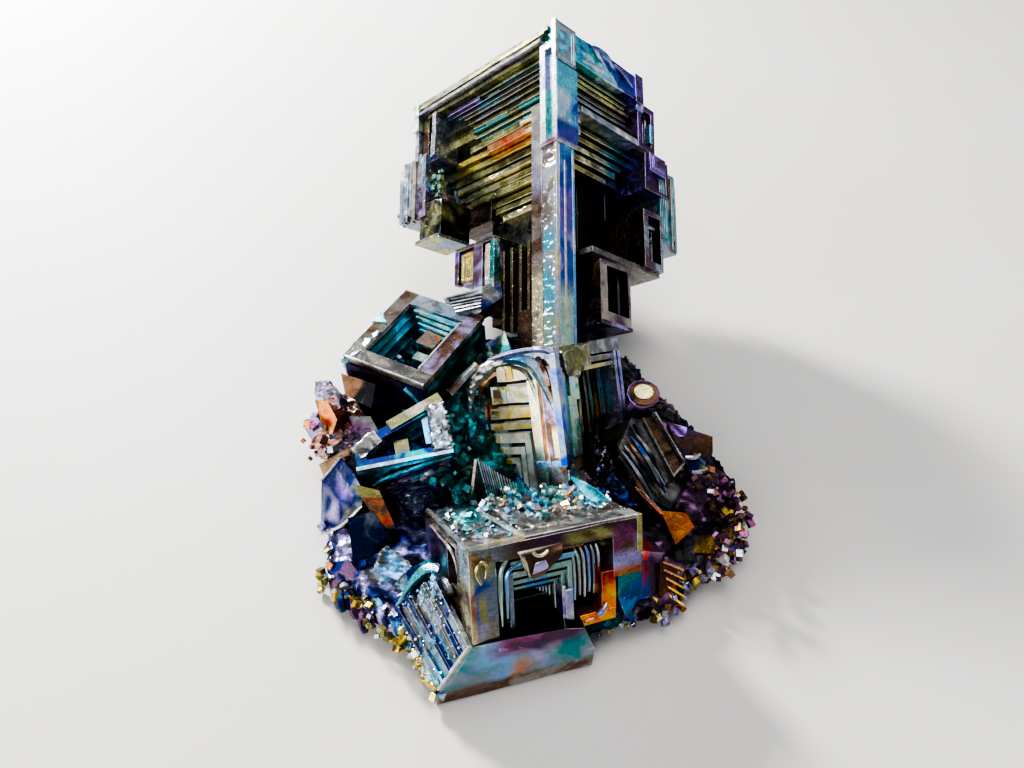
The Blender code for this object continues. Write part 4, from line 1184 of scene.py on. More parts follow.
def leftHopper():
    dice = random.Random(31)
    stock = []
    width, length, top = hopper["width"], hopper["length"], hopper["top"]
    well = plate(stock, (0.3, width - 0.3), (0.3, length - 0.3), (-3, top - 0.5), "steel", "teal", 0.3)
    sink(well, (0, 0, 1), [(3.0, 1.6, None), (0.5, 1.5, (0.1, 0.2, 0)), (0.6, 1.6, None),
                           (0.7, 1.6, (0.2, 0, 0)), (0.8, 2.0, None)])
    score(well, {"z": [4, 8, 11], "x": [5, 9, 13], "y": [5, 10, 15]})

    def wellShade(point, normal, centre):
        inside = 2.6 < centre.x < width - 2.6 and 2.6 < centre.y < length - 2.6
        if inside and centre.z < top - 0.6:
            return ("teal", "cyan", 0.2) if centre.x < 4.4 or centre.y > length - 5 else ("navy", "teal", 0.3)
        if normal.z > 0.5:
            return None
        if normal.x > 0.5:
            return ("pine", "teal", 0.5)
        return ("navy", "plum", 0.3)

    repaint(well, wellShade)
    # the rim: four broad flat rails
    plate(stock, (0.2, width), (0.0, 3.2), (top - 1.2, top), "ash", "smoke", 0.35)
    plate(stock, (0.0, 3.1), (3.0, length), (top - 1.2, top), "ash", "umber", 0.25)
    plate(stock, (width - 2.9, width), (3.0, length - 0.2), (top - 1.2, top), "umber", "lavender", 0.4)
    plate(stock, (3.0, width), (length - 3.2, length), (top - 1.3, top - 0.05), "steel", "ash", 0.6)
    beam(stock, (width - 3.1, 3.2, top), (width - 3.1, length - 4, top), 0.35, 0.5, (0, 0, 1), "silver",
         "cream", 0.4)
    beam(stock, (0.4, 0.1, top), (width, 0.1, top), 0.4, 0.5, (0, 0, 1), "silver", "ash", 0.7)
    for k in range(5):  # thin plates along the back right of the well
        beam(stock, (4.4 + 0.9 * k, length - 3.6 - 0.8 * k, top - 0.9 - 0.7 * k),
             (width - 2.8, length - 4.2 - 0.9 * k, top - 0.7 - 0.7 * k), 0.9, 0.5,
             (0, 0, 1), *[("cyan", "silver", 0.3), ("teal", "mint", 0.4), ("silver", "cyan", 0.4),
                          ("teal", "cyan", 0.3), ("steel", "teal", 0.3)][k])
    plate(stock, (8.6, 12.6), (11.4, 16.0), (top - 9, top - 2.6), "ash", "copper", 0.2)
    plate(stock, (9.4, 11.8), (8.4, 10.4), (top - 9, top - 4.0), "mint", "ash", 0.4)
    plate(stock, (5.4, 8.4), (11.0, 18.0), (top - 10, top - 6.0), "teal", "navy", 0.3)
    plate(stock, (7.0, 14.0), (4.6, 8.0), (top - 10, top - 6.6), "navy", "teal", 0.4)
    scatter(stock, dice, 30, lambda k: (dice.uniform(4, 14.5), dice.uniform(4, 17),
                                        top - dice.uniform(5.4, 8)), (0.5, 1.6),
            [("teal", "cyan", 0.5), ("navy", "royal", 0.4), ("cyan", "silver", 0.4)])
    # cyan corner facet on the left
    roughen(facets(stock, [(-0.9, -0.4, 15.6), (-1.6, 4.4, 15.2), (-0.4, 10.6, 16.7), (2.9, 8.6, 17.4),
                           (2.6, 0.8, 17.4), (0.6, -0.6, 16.8),
                           (-0.6, 0, 11), (0.4, 9, 12), (2, 0.2, 12)], "teal"), 0.35,
                           [(2.4, 0.9), (1.1, 0.5)], "teal", "cyan", 0.9)
    facets(stock, [(-0.8, 10.4, 16.9), (-0.6, 13.6, 17.2), (2.4, 11, 17.4), (0.6, 12, 12), (1.8, 9, 14)],
           "teal", "smoke", 0.3)
    # hollow under the front rail
    face = plate(stock, (0.6, width), (-0.3, 2.4), (3.0, top - 1.4), "navy", "plum", 0.2)
    sink(face, (0, -1, 0), [(1.0, 0.9, (0, 0, -0.6)), (1.0, 0.7, (0.6, 0, 0))])
    rail(stock, [(width - 4.0, -0.5, top - 2.0), (width - 1.6, -0.5, top - 3.4),
                 (width - 0.2, -0.3, top - 6.4)], [0.5, 0.6, 0.4], "cyan", "teal", 0.3)
    rail(stock, [(width - 5.6, -0.4, 8.4), (width - 4.0, -0.6, 9.2), (width - 2.6, -0.5, 8.4),
                 (width - 4.0, -0.5, 7.4), (width - 5.4, -0.4, 8.2)],
         [0.3] * 5, "navy", "lavender", 0.3)
    side = plate(stock, (width - 1.0, width + 0.4), (0.4, 20.8), (2.0, top - 2.0), "pine", "teal", 0.6)
    sink(side, (1, 0, 0), [(1.2, 0.8, None)])
    for k in range(5):  # growth steps round its back and left sides
        plate(stock, (0.4 - 0.25 * (k % 2), width - 0.5), (length - 1.2, length + 0.25 * (k % 3)),
              (top - 3.0 - 2.6 * k, top - 1.9 - 2.6 * k),
              *[("teal", "navy", 0.5), ("navy", "plum", 0.4), ("steel", "smoke", 0.6)][k % 3])
        plate(stock, (-0.25 * (k % 3), 1.4), (1.0 + 0.6 * k, length - 0.4),
              (top - 4.2 - 2.5 * k, top - 3.2 - 2.5 * k),
              *[("navy", "royal", 0.4), ("teal", "cyan", 0.5), ("plum", "navy", 0.5)][k % 3])
    finishPiece("left_hopper", stock, film, hopperPlace, hopperTurn, bevel=0.16, wobble=0.25)

    stock = []
    facets(stock, [(-37.2, 99.2, 14.6), (-34.6, 98.2, 15.2), (-32.4, 95.2, 13.4), (-33.6, 93.8, 11.0),
                   (-36.0, 96.4, 11.8), (-30, 100, 8)], "umber", "copper", 0.2)
    facets(stock, [(-31.6, 100.6, 20.2), (-25.0, 98.4, 19.6), (-26.0, 95.6, 16.0), (-31.0, 98.4, 16.6),
                   (-27, 102, 12)], "soot", "umber", 0.5)
    roughen(facets(stock, [(-38.2, 104.0, 15.2), (-35.0, 103.2, 16.6), (-32.0, 98.0, 13.6),
                           (-34.4, 97.2, 11.8), (-38.0, 100.8, 13.0), (-32, 104, 8)], "plum"), 0.35,
            [(2.6, 1.0), (1.2, 0.5)], "plum", "lavender", 0.7)
    roughen(facets(stock, [(-38.4, 95.0, 8.6), (-33.6, 97.4, 12.0), (-31.4, 94.4, 9.8), (-35.4, 90.6, 6.4),
                           (-37.6, 92.0, 6.2), (-30, 98, 4)], "umber"), 0.35,
            [(2.6, 1.0), (1.2, 0.5)], "umber", "copper", 0.7)
    facets(stock, [(-40.0, 97.6, 8.4), (-38.4, 99.8, 10.6), (-36.2, 97.2, 9.8), (-37.8, 94.4, 7.0),
                   (-36, 98, 4)], "steel", "lavender", 0.9)
    facets(stock, [(-36.4, 90.6, 6.0), (-31.0, 92.6, 8.4), (-26.4, 91.0, 7.6), (-29.4, 86.6, 3.4),
                   (-34, 86.6, 1.6), (-30, 96, 2)], "umber", "soot", 0.4)
    facets(stock, [(-30.8, 97.0, 12.4), (-26.4, 95.8, 13.8), (-24.0, 92.0, 12.6), (-28.6, 92.6, 10.2),
                   (-27, 98, 6)], "smoke", "plum", 0.6)
    base = facets(stock, [(-38, 96, 7), (-37, 103, 12.5), (-30, 104, 13), (-27, 95, 11.5), (-29, 90, 6),
                          (-35, 90, 4.5), (-30, 92, 2), (-36, 100, 2)], "plum")
    roughen(base, 0.5, [(4.0, 2.2), (1.6, 1.0)], "plum", "umber", 0.7)
    scatter(stock, dice, 60, lambda k: (dice.uniform(-38.5, -28), dice.uniform(90, 103),
                                        dice.uniform(6, 13)), (0.5, 1.5),
            [("magenta", "silver", 0.7), ("copper", "umber", 0.4), ("plum", "lavender", 0.5),
             ("umber", "magenta", 0.5)])
    finishPiece("copper_corner", stock, film, bevel=0.14, wobble=0.25)


troughPlace = (-26.1, 79.9, 17.3)
troughTurn = (14.0, -1.0, 14.0)


def leftTrough():
    dice = random.Random(37)
    stock = []
    well = plate(stock, (0.2, 16.4), (0.2, 11.6), (-14, -0.3), "navy", "smoke", 0.5)
    trim(well, (0.2, 5.4, 0), (-0.36, 0.93, 0))
    sink(well, (0, 0, 1), [(1.7, 2.2, None), (0.6, 2.0, None), (0.6, 2.0, None)])
    score(well, {"x": [4, 8, 12], "y": [4, 8], "z": [-10, -6, -3]})
    repaint(well, lambda point, normal,
            centre: ("navy", "teal", 0.4) if normal.z > 0.5 or 2 < centre.x < 14.6 and 2 < centre.y < 9.8 else
            ("navy", "teal", 0.4) if normal.y < -0.5 else None)
    plate(stock, (0.0, 16.6), (0.0, 0.7), (-1.4, 0.2), "steel", "cyan", 0.5)
    roughen(beam(stock, (0.2, 3.2, -0.9), (4.8, 6.2, -0.6), 3.0, 1.8, (0, 0, 1), "ash"), 0.35, [(2.2, 0.9)],
            "smoke", "ash", 0.8)
    plate(stock, (0.0, 1.3), (0.6, 3.0), (-2.4, -0.4), "soot", "steel", 0.6)
    beam(stock, (6.6, 7.4, -0.6), (16.4, 11.3, -0.5), 1.9, 1.3, (0, 0, 1), "olive", "ash", 0.5)
    roughen(plate(stock, (13.4, 16.7), (0.8, 11.6), (-6.0, 0.15), "ash"), 0.35, [(2.4, 0.9), (1.0, 0.4)],
            "steel", "silver", 0.9)
    plate(stock, (12.4, 13.8), (3.0, 9.0), (-5.0, -1.0), "sky", "steel", 0.5)
    scatter(stock, dice, 40, lambda k: (dice.uniform(13.4, 16.8), dice.uniform(0.8, 11.4),
                                        dice.uniform(-0.4, 0.3)), (0.3, 0.8),
            [("steel", "silver", 0.8), ("silver", "lavender", 0.8), ("ash", "silver", 0.8)])
    plate(stock, (6.8, 9.4), (3.0, 5.6), (-6, -2.6), "olive", "smoke", 0.4)
    plate(stock, (3.0, 6.8), (2.2, 5.0), (-8, -4.4), "navy", "teal", 0.4)
    scatter(stock, dice, 24, lambda k: (dice.uniform(2.4, 13), dice.uniform(2.0, 5.4),
                                        -dice.uniform(3.6, 6)), (0.6, 1.8),
            [("navy", "royal", 0.5), ("teal", "cyan", 0.5), ("royal", "sky", 0.4)])
    # curved streaks down its front
    for k in range(9):
        drop = 1.6 + 1.15 * k
        rail(stock, [(16.2 - 0.3 * k, -0.15, -drop + 0.6), (10.5 - 0.4 * k, -0.4, -drop - 0.5),
                     (5.0, -0.5, -drop - 2.2), (2.0 + 0.5 * k, -0.3, -drop - 4.4)],
             [0.2, 0.45, 0.6, 0.2], *[("teal", "cyan", 0.2), ("navy", "royal", 0.3),
                                      ("magenta", "plum", 0.3)][k % 3])
    body = facets(stock, [(3.0, 0.4, -4), (16.4, 0.4, -3), (16.2, -1.4, -9), (13.0, -4.0, -12.6),
                          (8.0, -5.0, -12.0), (3.4, -1.6, -8.6), (4, 4, -14), (15, 4, -14)], "navy")
    roughen(body, 0.4, [(3.6, 1.2), (1.5, 0.7)], "navy", "steel", 0.5)
    finishPiece("left_trough", stock, film, troughPlace, troughTurn, bevel=0.14, wobble=0.25)

    stock = []
    pane = facets(stock, [(-34.2, 84.3, 9.0), (-30.2, 85.8, 14.0), (-27.2, 81.4, 14.4), (-25.6, 79.5, 12.5),
                          (-26.1, 78.5, 9.5), (-30.2, 77.3, 5.5),
                          (-34.3, 77.4, 2.5), (-27, 86, 8), (-25, 82, 5), (-29, 82, 1.5)], "navy", "steel",
                          0.4)
    score(pane, {"x": [-32.8, -31.4, -30.2, -28.8, -27.4], "z": [5, 6.5, 8, 9.5, 11, 12.5]})
    repaint(pane, lambda point, normal,
            centre: ("violet", "lavender", 0.1) if -31.4 < point.x < -28 and 9.6 < point.z < 12.4 else
            ("lavender", "navy", 0.3) if -33 < point.x < -30.4 and 6 < point.z < 8.8
            else ("smoke", "ash", 0.7) if point.x > -29 and point.z < 9 else None)
    rail(stock, [(-34.3, 77.3, 2.5), (-32.2, 77.2, 4.0), (-30.2, 77.2, 5.5), (-28.0, 77.8, 7.6),
                 (-26.0, 78.4, 9.6)], [0.25, 0.35, 0.35, 0.35, 0.2], "silver", "cream", 0.4)
    rail(stock, [(-34.3, 84.3, 9.1), (-32.2, 85.1, 11.6), (-30.2, 85.8, 14.1)], [0.2, 0.3, 0.2], "steel",
         "silver", 0.4)
    flame = facets(stock, [(-26.8, 78.4, 15.9), (-22.4, 78.0, 14.8), (-20.0, 74.6, 8.4), (-22.0, 74.4, 7.8),
                           (-22, 82, 8), (-20, 80, 6)], "copper", "red", 0.2)
    score(flame, {"z": [9, 10.5, 12, 13.6]})
    repaint(flame, lambda point, normal,
            centre: ("olive", "khaki", 0.2) if centre.z > 13.0 else ("umber", "copper", 0.2)
            if centre.z > 11 else
            ("red", "copper", 0.2) if centre.z > 9.6 else ("umber", "plum", 0.2))
    facets(stock, [(-27.6, 74.6, 11.4), (-23.6, 76.0, 11.4), (-20.6, 73.4, 7.0), (-27.0, 69.6, 4.6),
                   (-24, 80, 4)], "navy", "steel", 0.2)
    roughen(facets(stock, [(-25.6, 66.6, 4.6), (-21.0, 71.6, 9.0), (-15.8, 68.0, 7.4), (-17.6, 63.2, 4.8),
                           (-23.4, 63.8, 3.4), (-18, 70, 2)], "steel"), 0.45,
            [(4.2, 1.9), (2.1, 0.7)], "smoke", "sky", 0.7)
    facets(stock, [(-17.8, 66.8, 7.0), (-14.0, 68.6, 8.4), (-10.6, 66.4, 8.6), (-13.0, 63.0, 6.6),
                   (-16.6, 63.6, 5.2), (-12, 70, 2)], "navy", "cyan", 0.3)
    facets(stock, [(-31.8, 70.4, 4.6), (-27.6, 70.0, 5.6), (-24.6, 66.6, 3.8), (-30.8, 65.8, 1.8),
                   (-28, 74, 1)], "plum", "navy", 0.3)
    for k in range(26):
        place = Vector((-31.0 + 0.72 * k, 66.4 - 0.28 * k + dice.uniform(-1.6, 2.2),
                        3.0 + dice.uniform(-1.2, 1.8)))
        rail(stock, [place, place + Vector((dice.uniform(0.4, 1.4), dice.uniform(-2.0, -0.8),
                                            dice.uniform(-0.9, 0.3))),
                     place + Vector((dice.uniform(0.2, 2.0), dice.uniform(-3.2, -2.0),
                                     dice.uniform(-1.8, -0.6)))],
             [0.5, dice.uniform(0.8, 1.4), 0.5],
             *dice.choice([("navy", "lavender", 0.5), ("plum", "navy", 0.4), ("smoke", "umber", 0.5),
                           ("navy", "sky", 0.5)]))
    scatter(stock, dice, 110, lambda k: (-33.0 + 0.17 * k, 69.0 - 0.135 * k + dice.uniform(-2.0, 2.0),
                                         dice.uniform(0.8, 4.4)), (0.3, 1.1),
            [("khaki", "umber", 0.7), ("gold", "olive", 0.7), ("silver", "lavender", 0.7),
             ("khaki", "olive", 0.6), ("umber", "khaki", 0.6)])
    finishPiece("left_shards", stock, film, bevel=0.14, wobble=0.25)


leftHopper()
leftTrough()
print("left side ready")


def middleShards():
    dice = random.Random(41)
    stock = []
    shades = {
        "shoulder": [(-14, 88, 4), (-14, 97, 13.6), (-10, 107, 16.4), (-7.4, 103, 14.0), (-7.6, 96, 9.6),
                     (-6.4, 88, 4.4), (-5, 80, 5), (-11, 80, 8),
                     (-4, 112, 10.6), (6, 114, 11.6), (10, 112, 8.6), (-3, 78, 3), (-12, 104, 3)],
        "saddle": [(-2, 68, 16.2), (14, 72, 15.2), (16.6, 78.4, 10.6), (4, 78.6, 11.6), (-6, 75, 10.6),
                   (-8, 70, 5), (20, 74, 4), (18, 84, 2), (-6, 82, 3)],
    }
    roughen(facets(stock, shades["shoulder"], "pine"), 0.6, [(5.0, 3.0), (2.0, 1.4)], "pine", "teal", 0.8)
    roughen(facets(stock, shades["saddle"], "teal"), 0.5, [(3.2, 1.8), (1.5, 1.0)], "teal", "mint", 0.8)
    link = facets(stock, [(-13.6, 119.8, 22.6), (-8.2, 113.4, 22.4), (-1.8, 118.6, 24.0),
                          (-2.4, 123.2, 24.4), (-13, 119.6, 19.8), (-8, 113.8, 19.8),
                          (-1.8, 119.0, 20.8), (-4, 123.4, 21)], "steel", "ash", 0.7)
    score(link, {"x": [-9, -6, -4]})
    repaint(link, lambda point, normal, centre: ("smoke", "navy", 0.4) if centre.x > -6.4 else None)
    for k in range(6):
        beam(stock, (-13.0 + 0.4 * k, 119.4 - 0.9 * k, 22.9), (-6.0, 121.2 - 1.3 * k, 23.4 + 0.2 * k), 0.4,
             0.5, (0, 0, 1), *[("steel", "ash", 0.7), ("smoke", "steel", 0.6)][k % 2])
    # green peaks behind the knee, the rod, the blade crystal in front
    facets(stock, [(-4.8, 112.6, 14), (-1.6, 113.0, 19.8), (0.6, 109.6, 15.0), (-3.0, 107.0, 12)], "teal",
           "mint", 0.6)
    facets(stock, [(-7.6, 111.0, 14), (-4.6, 111.0, 18.0), (-2.4, 107.6, 14.4), (-6.4, 105.0, 11)], "pine",
           "mint", 0.6)
    rail(stock, [(-11.6, 98.6, 17.0), (-9.0, 101.0, 18.4), (-6.6, 103.4, 20.0)], [0.8, 0.9, 0.7], "silver",
         "copper", 0.5)
    facets(stock, [(-7.0, 80.4, 8.4), (-6.2, 84.4, 14.6), (-3.8, 84.6, 15.0), (1.6, 82.0, 11.4),
                   (3.0, 78.0, 7.4), (-3, 88, 8), (1, 84, 5)], "soot", "teal", 0.6)
    beam(stock, (-7.2, 80.2, 8.2), (-6.2, 84.6, 14.8), 0.5, 0.6, (0, 0, 1), "ash", "copper", 0.4)
    for k in range(14):
        beam(stock, (-5.9 + 0.5 * k, 84.6 - 0.2 * k, 15.0 - 0.27 * k),
             (-3.8 + 0.46 * k, 79.6 - 0.16 * k, 8.0), 0.22, 0.35, (0, -1, 1),
             *dice.choice([("soot", "teal", 1.0), ("navy", "teal", 1.0), ("soot", "navy", 1.0),
                           ("teal", "steel", 1.0)]), 0.5)
    scatter(stock, dice, 110, lambda k: (dice.uniform(-14, -5), dice.uniform(80, 108), dice.uniform(7, 14)),
            (0.6, 1.9),
            [("pine", "teal", 0.6), ("navy", "teal", 0.6), ("teal", "cyan", 0.5), ("pine", "mint", 0.6)])
    scatter(stock, dice, 170, lambda k: (dice.uniform(-5, 17), dice.uniform(68, 79),
                                         14.6 - 0.1 * k / 15 + dice.uniform(-1.2, 0.6)), (0.3, 1.1),
            [("cyan", "mint", 0.6), ("mint", "silver", 0.7), ("teal", "cyan", 0.6), ("cream", "mint", 0.6),
             ("silver", "sky", 0.7)])
    for k in range(12):
        beam(stock, (10.0 + 0.35 * k, 80.0 - 0.2 * k, 15.6), (14.4 + 0.45 * k, 73.8, 14.0 - 0.12 * k), 0.35,
             0.4, (0, 0, 1), "cyan", "teal", 0.5)
    finishPiece("middle_shards", stock, film, bevel=0.1, wobble=0.3)


def rightShards():
    dice = random.Random(43)
    stock = []
    facets(stock, [(22.6, 97.6, 11.4), (27, 97.8, 10.2), (31.0, 84.6, 7.0), (28.0, 79.4, 7.2),
                   (22.4, 81, 10.4), (19.6, 90, 11.4), (20, 82, 3), (33, 86, 3),
                   (30, 100, 3), (17, 100, 4)], "soot", "smoke", 0.6)
    for k in range(6):  # dark ribs running down to the right, then the long brown and grey blades beside them
        head, tail = Vector((22.4, 93.4, 12.0)).lerp(Vector((19.2, 87.4, 12.0)),
                k / 5), Vector((28.0, 83.4, 8.0)).lerp(Vector((24.6, 78.0, 8.0)), k / 5)
        rail(stock, [head, head.lerp(tail, 0.35) + Vector((0, 0, 0.9)),
                     head.lerp(tail, 0.7) + Vector((0, 0, 0.7)), tail], [0.3, 0.7, 0.75, 0.4],
             *[("soot", "smoke", 0.5), ("smoke", "navy", 0.3), ("soot", "umber", 0.6)][k % 3])
    for start, end, wide, shade in (((25.4, 96.8, 12.0), (30.2, 86.6, 8.6), 2.4, ("umber", "soot", 0.4)),
                                    ((23.2, 95.2, 12.2), (28.2, 84.2, 8.6), 1.7, ("smoke", "soot", 0.6)),
                                    ((26.9, 97.8, 12.4), (31.5, 88.4, 9.0), 0.4, ("ash", "silver", 0.4)),
                                    ((24.3, 96.2, 12.6), (29.0, 85.2, 9.1), 0.35, ("ash", "smoke", 0.4)),
                                    ((21.9, 94.4, 12.4), (27.2, 83.2, 9.0), 0.3, ("steel", "smoke", 0.4)),
                                    ((29.0, 85.2, 9.0), (31.8, 88.8, 8.9), 0.4, ("ash", "silver", 0.4))):
        beam(stock, start, end, wide, 0.9, (0.3, 0, 1), *shade)
    roughen(facets(stock, [(18, 97, 6), (24, 98, 9), (22, 80, 8), (12, 78, 7), (14, 84, 5), (26, 80, 5),
                           (20, 90, 2)], "smoke"), 0.5,
            [(4.0, 2.4), (1.8, 1.2)], "soot", "navy", 0.6)
    for k in range(2):
        rail(stock, [(31.6 + k, 88.8 - 2.6 * k, 10.4 - k), (33.4 + k, 88.4 - 2.6 * k, 10.2 - k),
                     (34.8 + k, 90.2 - 2.6 * k, 9.4 - k)], [0.3, 0.6, 0.3], "silver", "steel", 0.3)
    facets(stock, [(29.6, 97.4, 10.4), (38.0, 95.0, 9.0), (38.0, 92.4, 7.0), (31, 92.6, 8.8), (30, 98, 4),
                   (37.6, 95.4, 4), (34, 88.6, 4)], "plum", "umber", 0.4)
    facets(stock, [(29.8, 96.8, 10.9), (33.2, 96.0, 10.6), (32.6, 94.0, 10.0), (30.2, 95, 9)], "plum",
           "violet", 0.3)
    facets(stock, [(32.4, 89.8, 9.4), (36.4, 90.2, 8.6), (35.2, 87.0, 7.6), (32.6, 87.4, 7.4), (34, 90, 5)],
           "navy", "steel", 0.6)
    for wide, deep, lift, shade in ((3.3, 2.6, 0.0, ("violet", "plum", 0.3)),
                                    (3.0, 2.3, 0.3, ("soot", "umber", 0.3)),
                                    (1.9, 1.35, 0.6, ("khaki", "cream", 0.1))):
        ring = [(26.0 + wide * math.cos(0.5236 * k), 104.9 + deep * math.sin(0.5236 * k),
                 10.4 + lift + 0.5 * deep * math.sin(0.5236 * k)) for k in range(12)]
        facets(stock, ring + [(26, 106, 6)], *shade)
    facets(stock, [(25.8, 77.6, 9.4), (30.2, 77.4, 9.0), (31.4, 75.2, 8.0), (28.0, 72.4, 6.6),
                   (27.6, 74.4, 7.6), (28, 79, 4)], "orange", "copper", 0.2)
    for k in range(3):
        rail(stock, [(21.4 + 0.5 * k, 80.6 - 0.3 * k, 12.2), (23.2 + 0.3 * k, 78.4, 11.0),
                     (25.8, 76.8 + 0.4 * k, 9.6)], [0.15, 0.32, 0.2], ["orange", "red", "umber"][k],
                     "copper", 0.2)
    facets(stock, [(31.4, 74.0, 7.2), (35.0, 74.6, 6.4), (35.0, 72.0, 4.6), (31.2, 71.6, 5.4), (33, 76, 3)],
           "umber", "gold", 0.5)
    blue = facets(stock, [(17.2, 66.2, 9.8), (21.6, 69.6, 9.2), (25.4, 70.4, 7.4), (24.6, 64.2, 4.0),
                          (18.8, 60.0, 3.2), (17, 62, 7.8), (20, 80, 7), (12, 74, 6)], "royal", "teal", 0.1)
    score(blue, {"x": [18, 19, 20, 21, 22, 23, 24], "z": [4, 5, 6, 7, 8, 9]})
    repaint(blue, lambda point, normal, centre: ("plum", "violet", 0.2) if point.x > 22.6 else
            ("red", "plum", 0.2) if point.x > 21 and point.z > 6.6 else ("plum", "royal", 0.2)
            if point.z < 4.6 else
            ("royal", "teal", 0.1) if point.z < 7.6 else ("teal", "steel", 0.2))
    facets(stock, [(21.4, 72.6, 9.4), (23.6, 70.8, 8.4), (24.4, 66.6, 5.8), (23.0, 66.6, 5.8),
                   (20.8, 69.6, 8), (23, 74, 4)], "red", "plum", 0.3)
    facets(stock, [(24.6, 68.6, 7.6), (27.8, 68.0, 6.6), (26.4, 63.0, 3.6), (24.0, 62.6, 3.8), (26, 70, 2)],
           "umber", "orange", 0.3)
    for k in range(5):
        beam(stock, (25.0 + 0.2 * k, 68.4 - 1.1 * k, 7.7 - 0.75 * k), (28.6, 67.8 - 1.2 * k, 6.0 - 0.8 * k),
             0.4, 0.5, (0, 0, 1), "copper", "gold", 0.4)
    scatter(stock, dice, 150, lambda k: (34.5 + 6.5 * math.sin(0.02 * k) + dice.uniform(-3.2, 1.4),
                                         90 - 0.14 * k + dice.uniform(-2, 2), dice.uniform(2.4, 8.4)),
            (0.35, 1.25), [("gold", "umber", 0.6), ("copper", "umber", 0.6), ("magenta", "plum", 0.6),
                           ("silver", "plum", 0.7), ("plum", "umber", 0.6)])
    scatter(stock, dice, 130, lambda k: (24 + 0.125 * k + dice.uniform(-1.5, 1.5),
                                         61 + 0.11 * k + dice.uniform(-1, 2.4), dice.uniform(0.8, 4.4)),
            (0.4, 1.3), [("plum", "lavender", 0.6), ("umber", "copper", 0.6), ("violet", "silver", 0.6),
                         ("gold", "umber", 0.6)])
    finishPiece("right_shards", stock, film, bevel=0.12, wobble=0.25)


crust = {
    "rim": [(-34, 79), (-32, 69), (-26, 64.5), (-19, 60), (-15, 55), (-4, 56), (13, 57), (21, 60), (28, 63),
            (34, 69.5), (39, 76), (42, 83),
            (42, 89), (39, 96), (36, 104), (31, 112), (26, 122), (13, 129), (-2, 130), (-16, 127),
            (-27, 120), (-33, 110), (-36, 98), (-35, 88)],
    "middle": (2, 92), "levels": [(0.0, 0.14), (2.2, 0.03), (3.6, 0.0), (5.0, 0.06), (5.8, 0.2), (4.6, 0.5)],
}


def groundCrust():
    dice = random.Random(47)
    mesh = bpy.data.meshes.new("crust")
    middle = Vector((*crust["middle"], 0))
    ring = [Vector((*point, 0)) for point in crust["rim"]]
    low = crust["levels"][0][1]
    mesh.from_pydata([point.lerp(middle, low) * mm for point in ring], [], [list(range(len(ring)))])
    item = bpy.data.objects.new("crust", mesh)
    bpy.context.scene.collection.objects.link(item)
    pick([item])
    bpy.ops.object.mode_set(mode="EDIT")
    bpy.ops.mesh.select_all(action="SELECT")
    for (height, drawn), (nextHeight, nextDrawn) in zip(crust["levels"], crust["levels"][1:]):
        share = (1 - nextDrawn) / (1 - drawn)
        bpy.ops.mesh.extrude_region_move(TRANSFORM_OT_translate={"value": (0, 0, (nextHeight - height) * mm)})
        bpy.ops.transform.resize(value=(share, share, 1), center_override=middle * mm)
    bpy.ops.mesh.select_all(action="SELECT")
    bpy.ops.mesh.normals_make_consistent(inside=False)
    bpy.ops.object.mode_set(mode="OBJECT")
    roughen(item, 0.6, [(7.0, 3.0), (2.6, 1.3)], "steel", "plum", 0.8)

    def crustShade(point, normal, centre):
        turn = math.degrees(math.atan2(centre.y - middle.y, centre.x - middle.x))
        if centre.z < 1.6:
            return ("umber", "soot", 0.6)
        if -60 < turn < 50:
            return ("plum", "soot", 0.6) if centre.z < 3.6 else ("soot", "plum", 0.6)
        if -120 < turn <= -60:
            return ("pine", "navy", 0.6)
        if turn < -120:
            return ("navy", "smoke", 0.6) if centre.z > 5 else ("navy", "lavender", 0.4)
        return ("smoke", "navy", 0.6) if turn < 110 else ("navy", "pine", 0.6)

    repaint(item, crustShade)
    finishPiece("crust", [item], film, bevel=0, wobble=0.3)

    stock = []
    spots = []
    for start, end in zip(crust["rim"], crust["rim"][1:] + crust["rim"][:1]):
        steps = max(2, int((Vector(end) - Vector(start)).length / 1.1))
        spots += [Vector(start).lerp(Vector(end), k / steps) for k in range(steps)]
    spots = [spot for spot in spots if not (-16 < spot.x < 14 and spot.y < 62)]
    scatter(stock, dice, len(spots),
            lambda k: (*spots[k].lerp(Vector(crust["middle"]), dice.uniform(0.0, 0.05)),
                       dice.uniform(0.8, 4.6)), (0.4, 1.3),
            [("steel", "smoke", 0.7), ("plum", "copper", 0.6), ("umber", "khaki", 0.6),
             ("navy", "lavender", 0.6)])
    finishPiece("crust_grains", stock, film, bevel=0.12, wobble=0.2)


middleShards()
rightShards()
groundCrust()
print("crust ready")

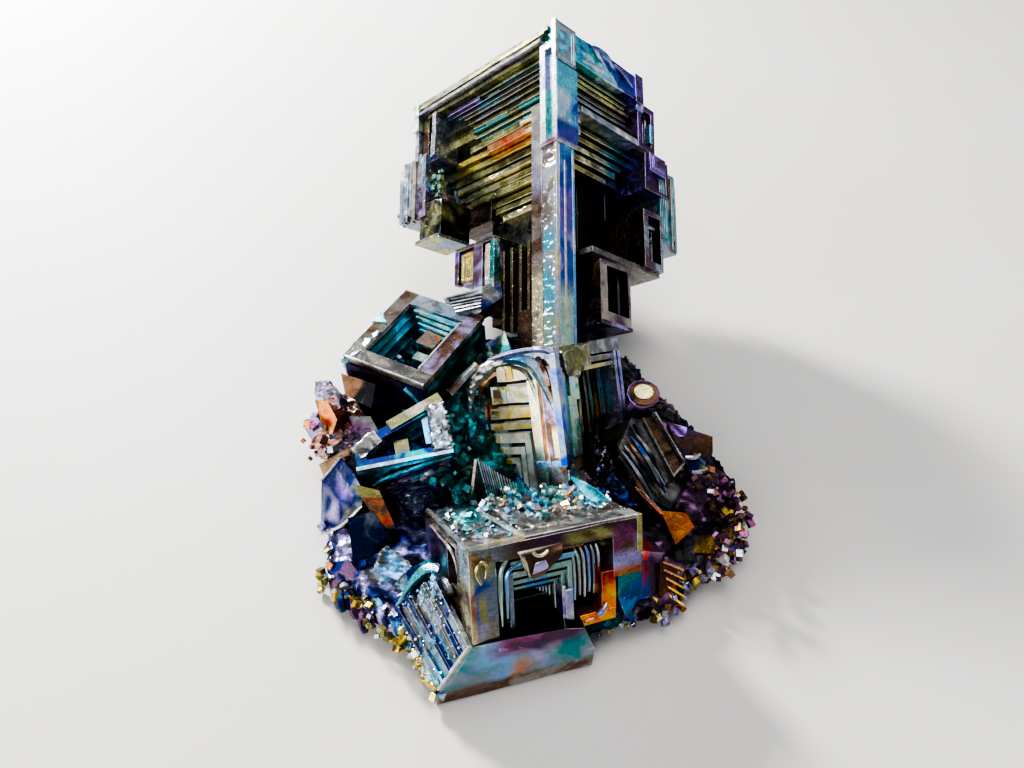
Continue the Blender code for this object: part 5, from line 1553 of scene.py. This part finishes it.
# the stage
studio = {
    "floor": 12.0, "floorGap": 0.0002, "floorTones": ((0.52, 0.50, 0.47, 1), (0.56, 0.54, 0.52, 1)),
    "lens": 26.72, "eye": (0.0, 0.0, 118.0), "pitch": 45.0,  # eye in mm above the bench, pitch in degrees
    "sky": (0.82, 0.88, 1.0, 1), "skyStrength": 0.26,
}
letGo()
bpy.ops.mesh.primitive_plane_add(size=studio["floor"], location=(0, 0, -studio["floorGap"]))
floor = bpy.context.object
floor.name = "floor"
paint = Board("paleFloor")
grainOfFloor = paint.add("ShaderNodeTexNoise", {}, {"Scale": 240.0, "Detail": 3.0})
floorTone = paint.mix(grainOfFloor, *studio["floorTones"])
floorShader = paint.add("ShaderNodeBsdfPrincipled", {}, {"Base Color": floorTone, "Roughness": 0.7})
paint.add("ShaderNodeOutputMaterial", {}, {"Surface": floorShader})
floor.data.materials.append(paint.material)

bpy.ops.object.camera_add(location=(Vector(studio["eye"]) - bench) * mm,
                          rotation=(math.radians(studio["pitch"]), 0, 0))
camera = bpy.context.object
camera.data.lens = studio["lens"]
camera.data.sensor_width = 36
camera.data.clip_start = 0.005
bpy.context.scene.camera = camera

lamps = {  # direction it shines from, distance, side, power
    "key": ((-0.62, 0.69, 0.45), 0.62, 0.10, 11.0),
    "sky": ((0.1, 0.25, 1.0), 0.7, 0.55, 3.4),
    "front": ((-0.45, -0.9, 0.55), 0.7, 0.3, 1.6),
    "right": ((0.95, 0.1, 0.5), 0.7, 0.3, 0.8),
    "left": ((-0.84, -0.46, 0.3), 0.6, 0.34, 1.5),
}
for label, (towards, distance, side, power) in lamps.items():
    aim = Vector(towards).normalized()
    bpy.ops.object.light_add(type="AREA", location=aim * distance + Vector((0, 0, 0.03)))
    lamp = bpy.context.object
    lamp.name = label
    lamp.rotation_euler = aim.to_track_quat("Z", "Y").to_euler()
    lamp.data.shape = "SQUARE"
    lamp.data.size = side
    lamp.data.energy = power

world = bpy.data.worlds.new("studio")
bpy.context.scene.world = world
world.use_nodes = True
world.node_tree.nodes["Background"].inputs["Color"].default_value = studio["sky"]
world.node_tree.nodes["Background"].inputs["Strength"].default_value = studio["skyStrength"]
bpy.context.scene.view_settings.view_transform = "AgX"
bpy.context.scene.view_settings.look = "AgX - High Contrast"
print("stage ready")
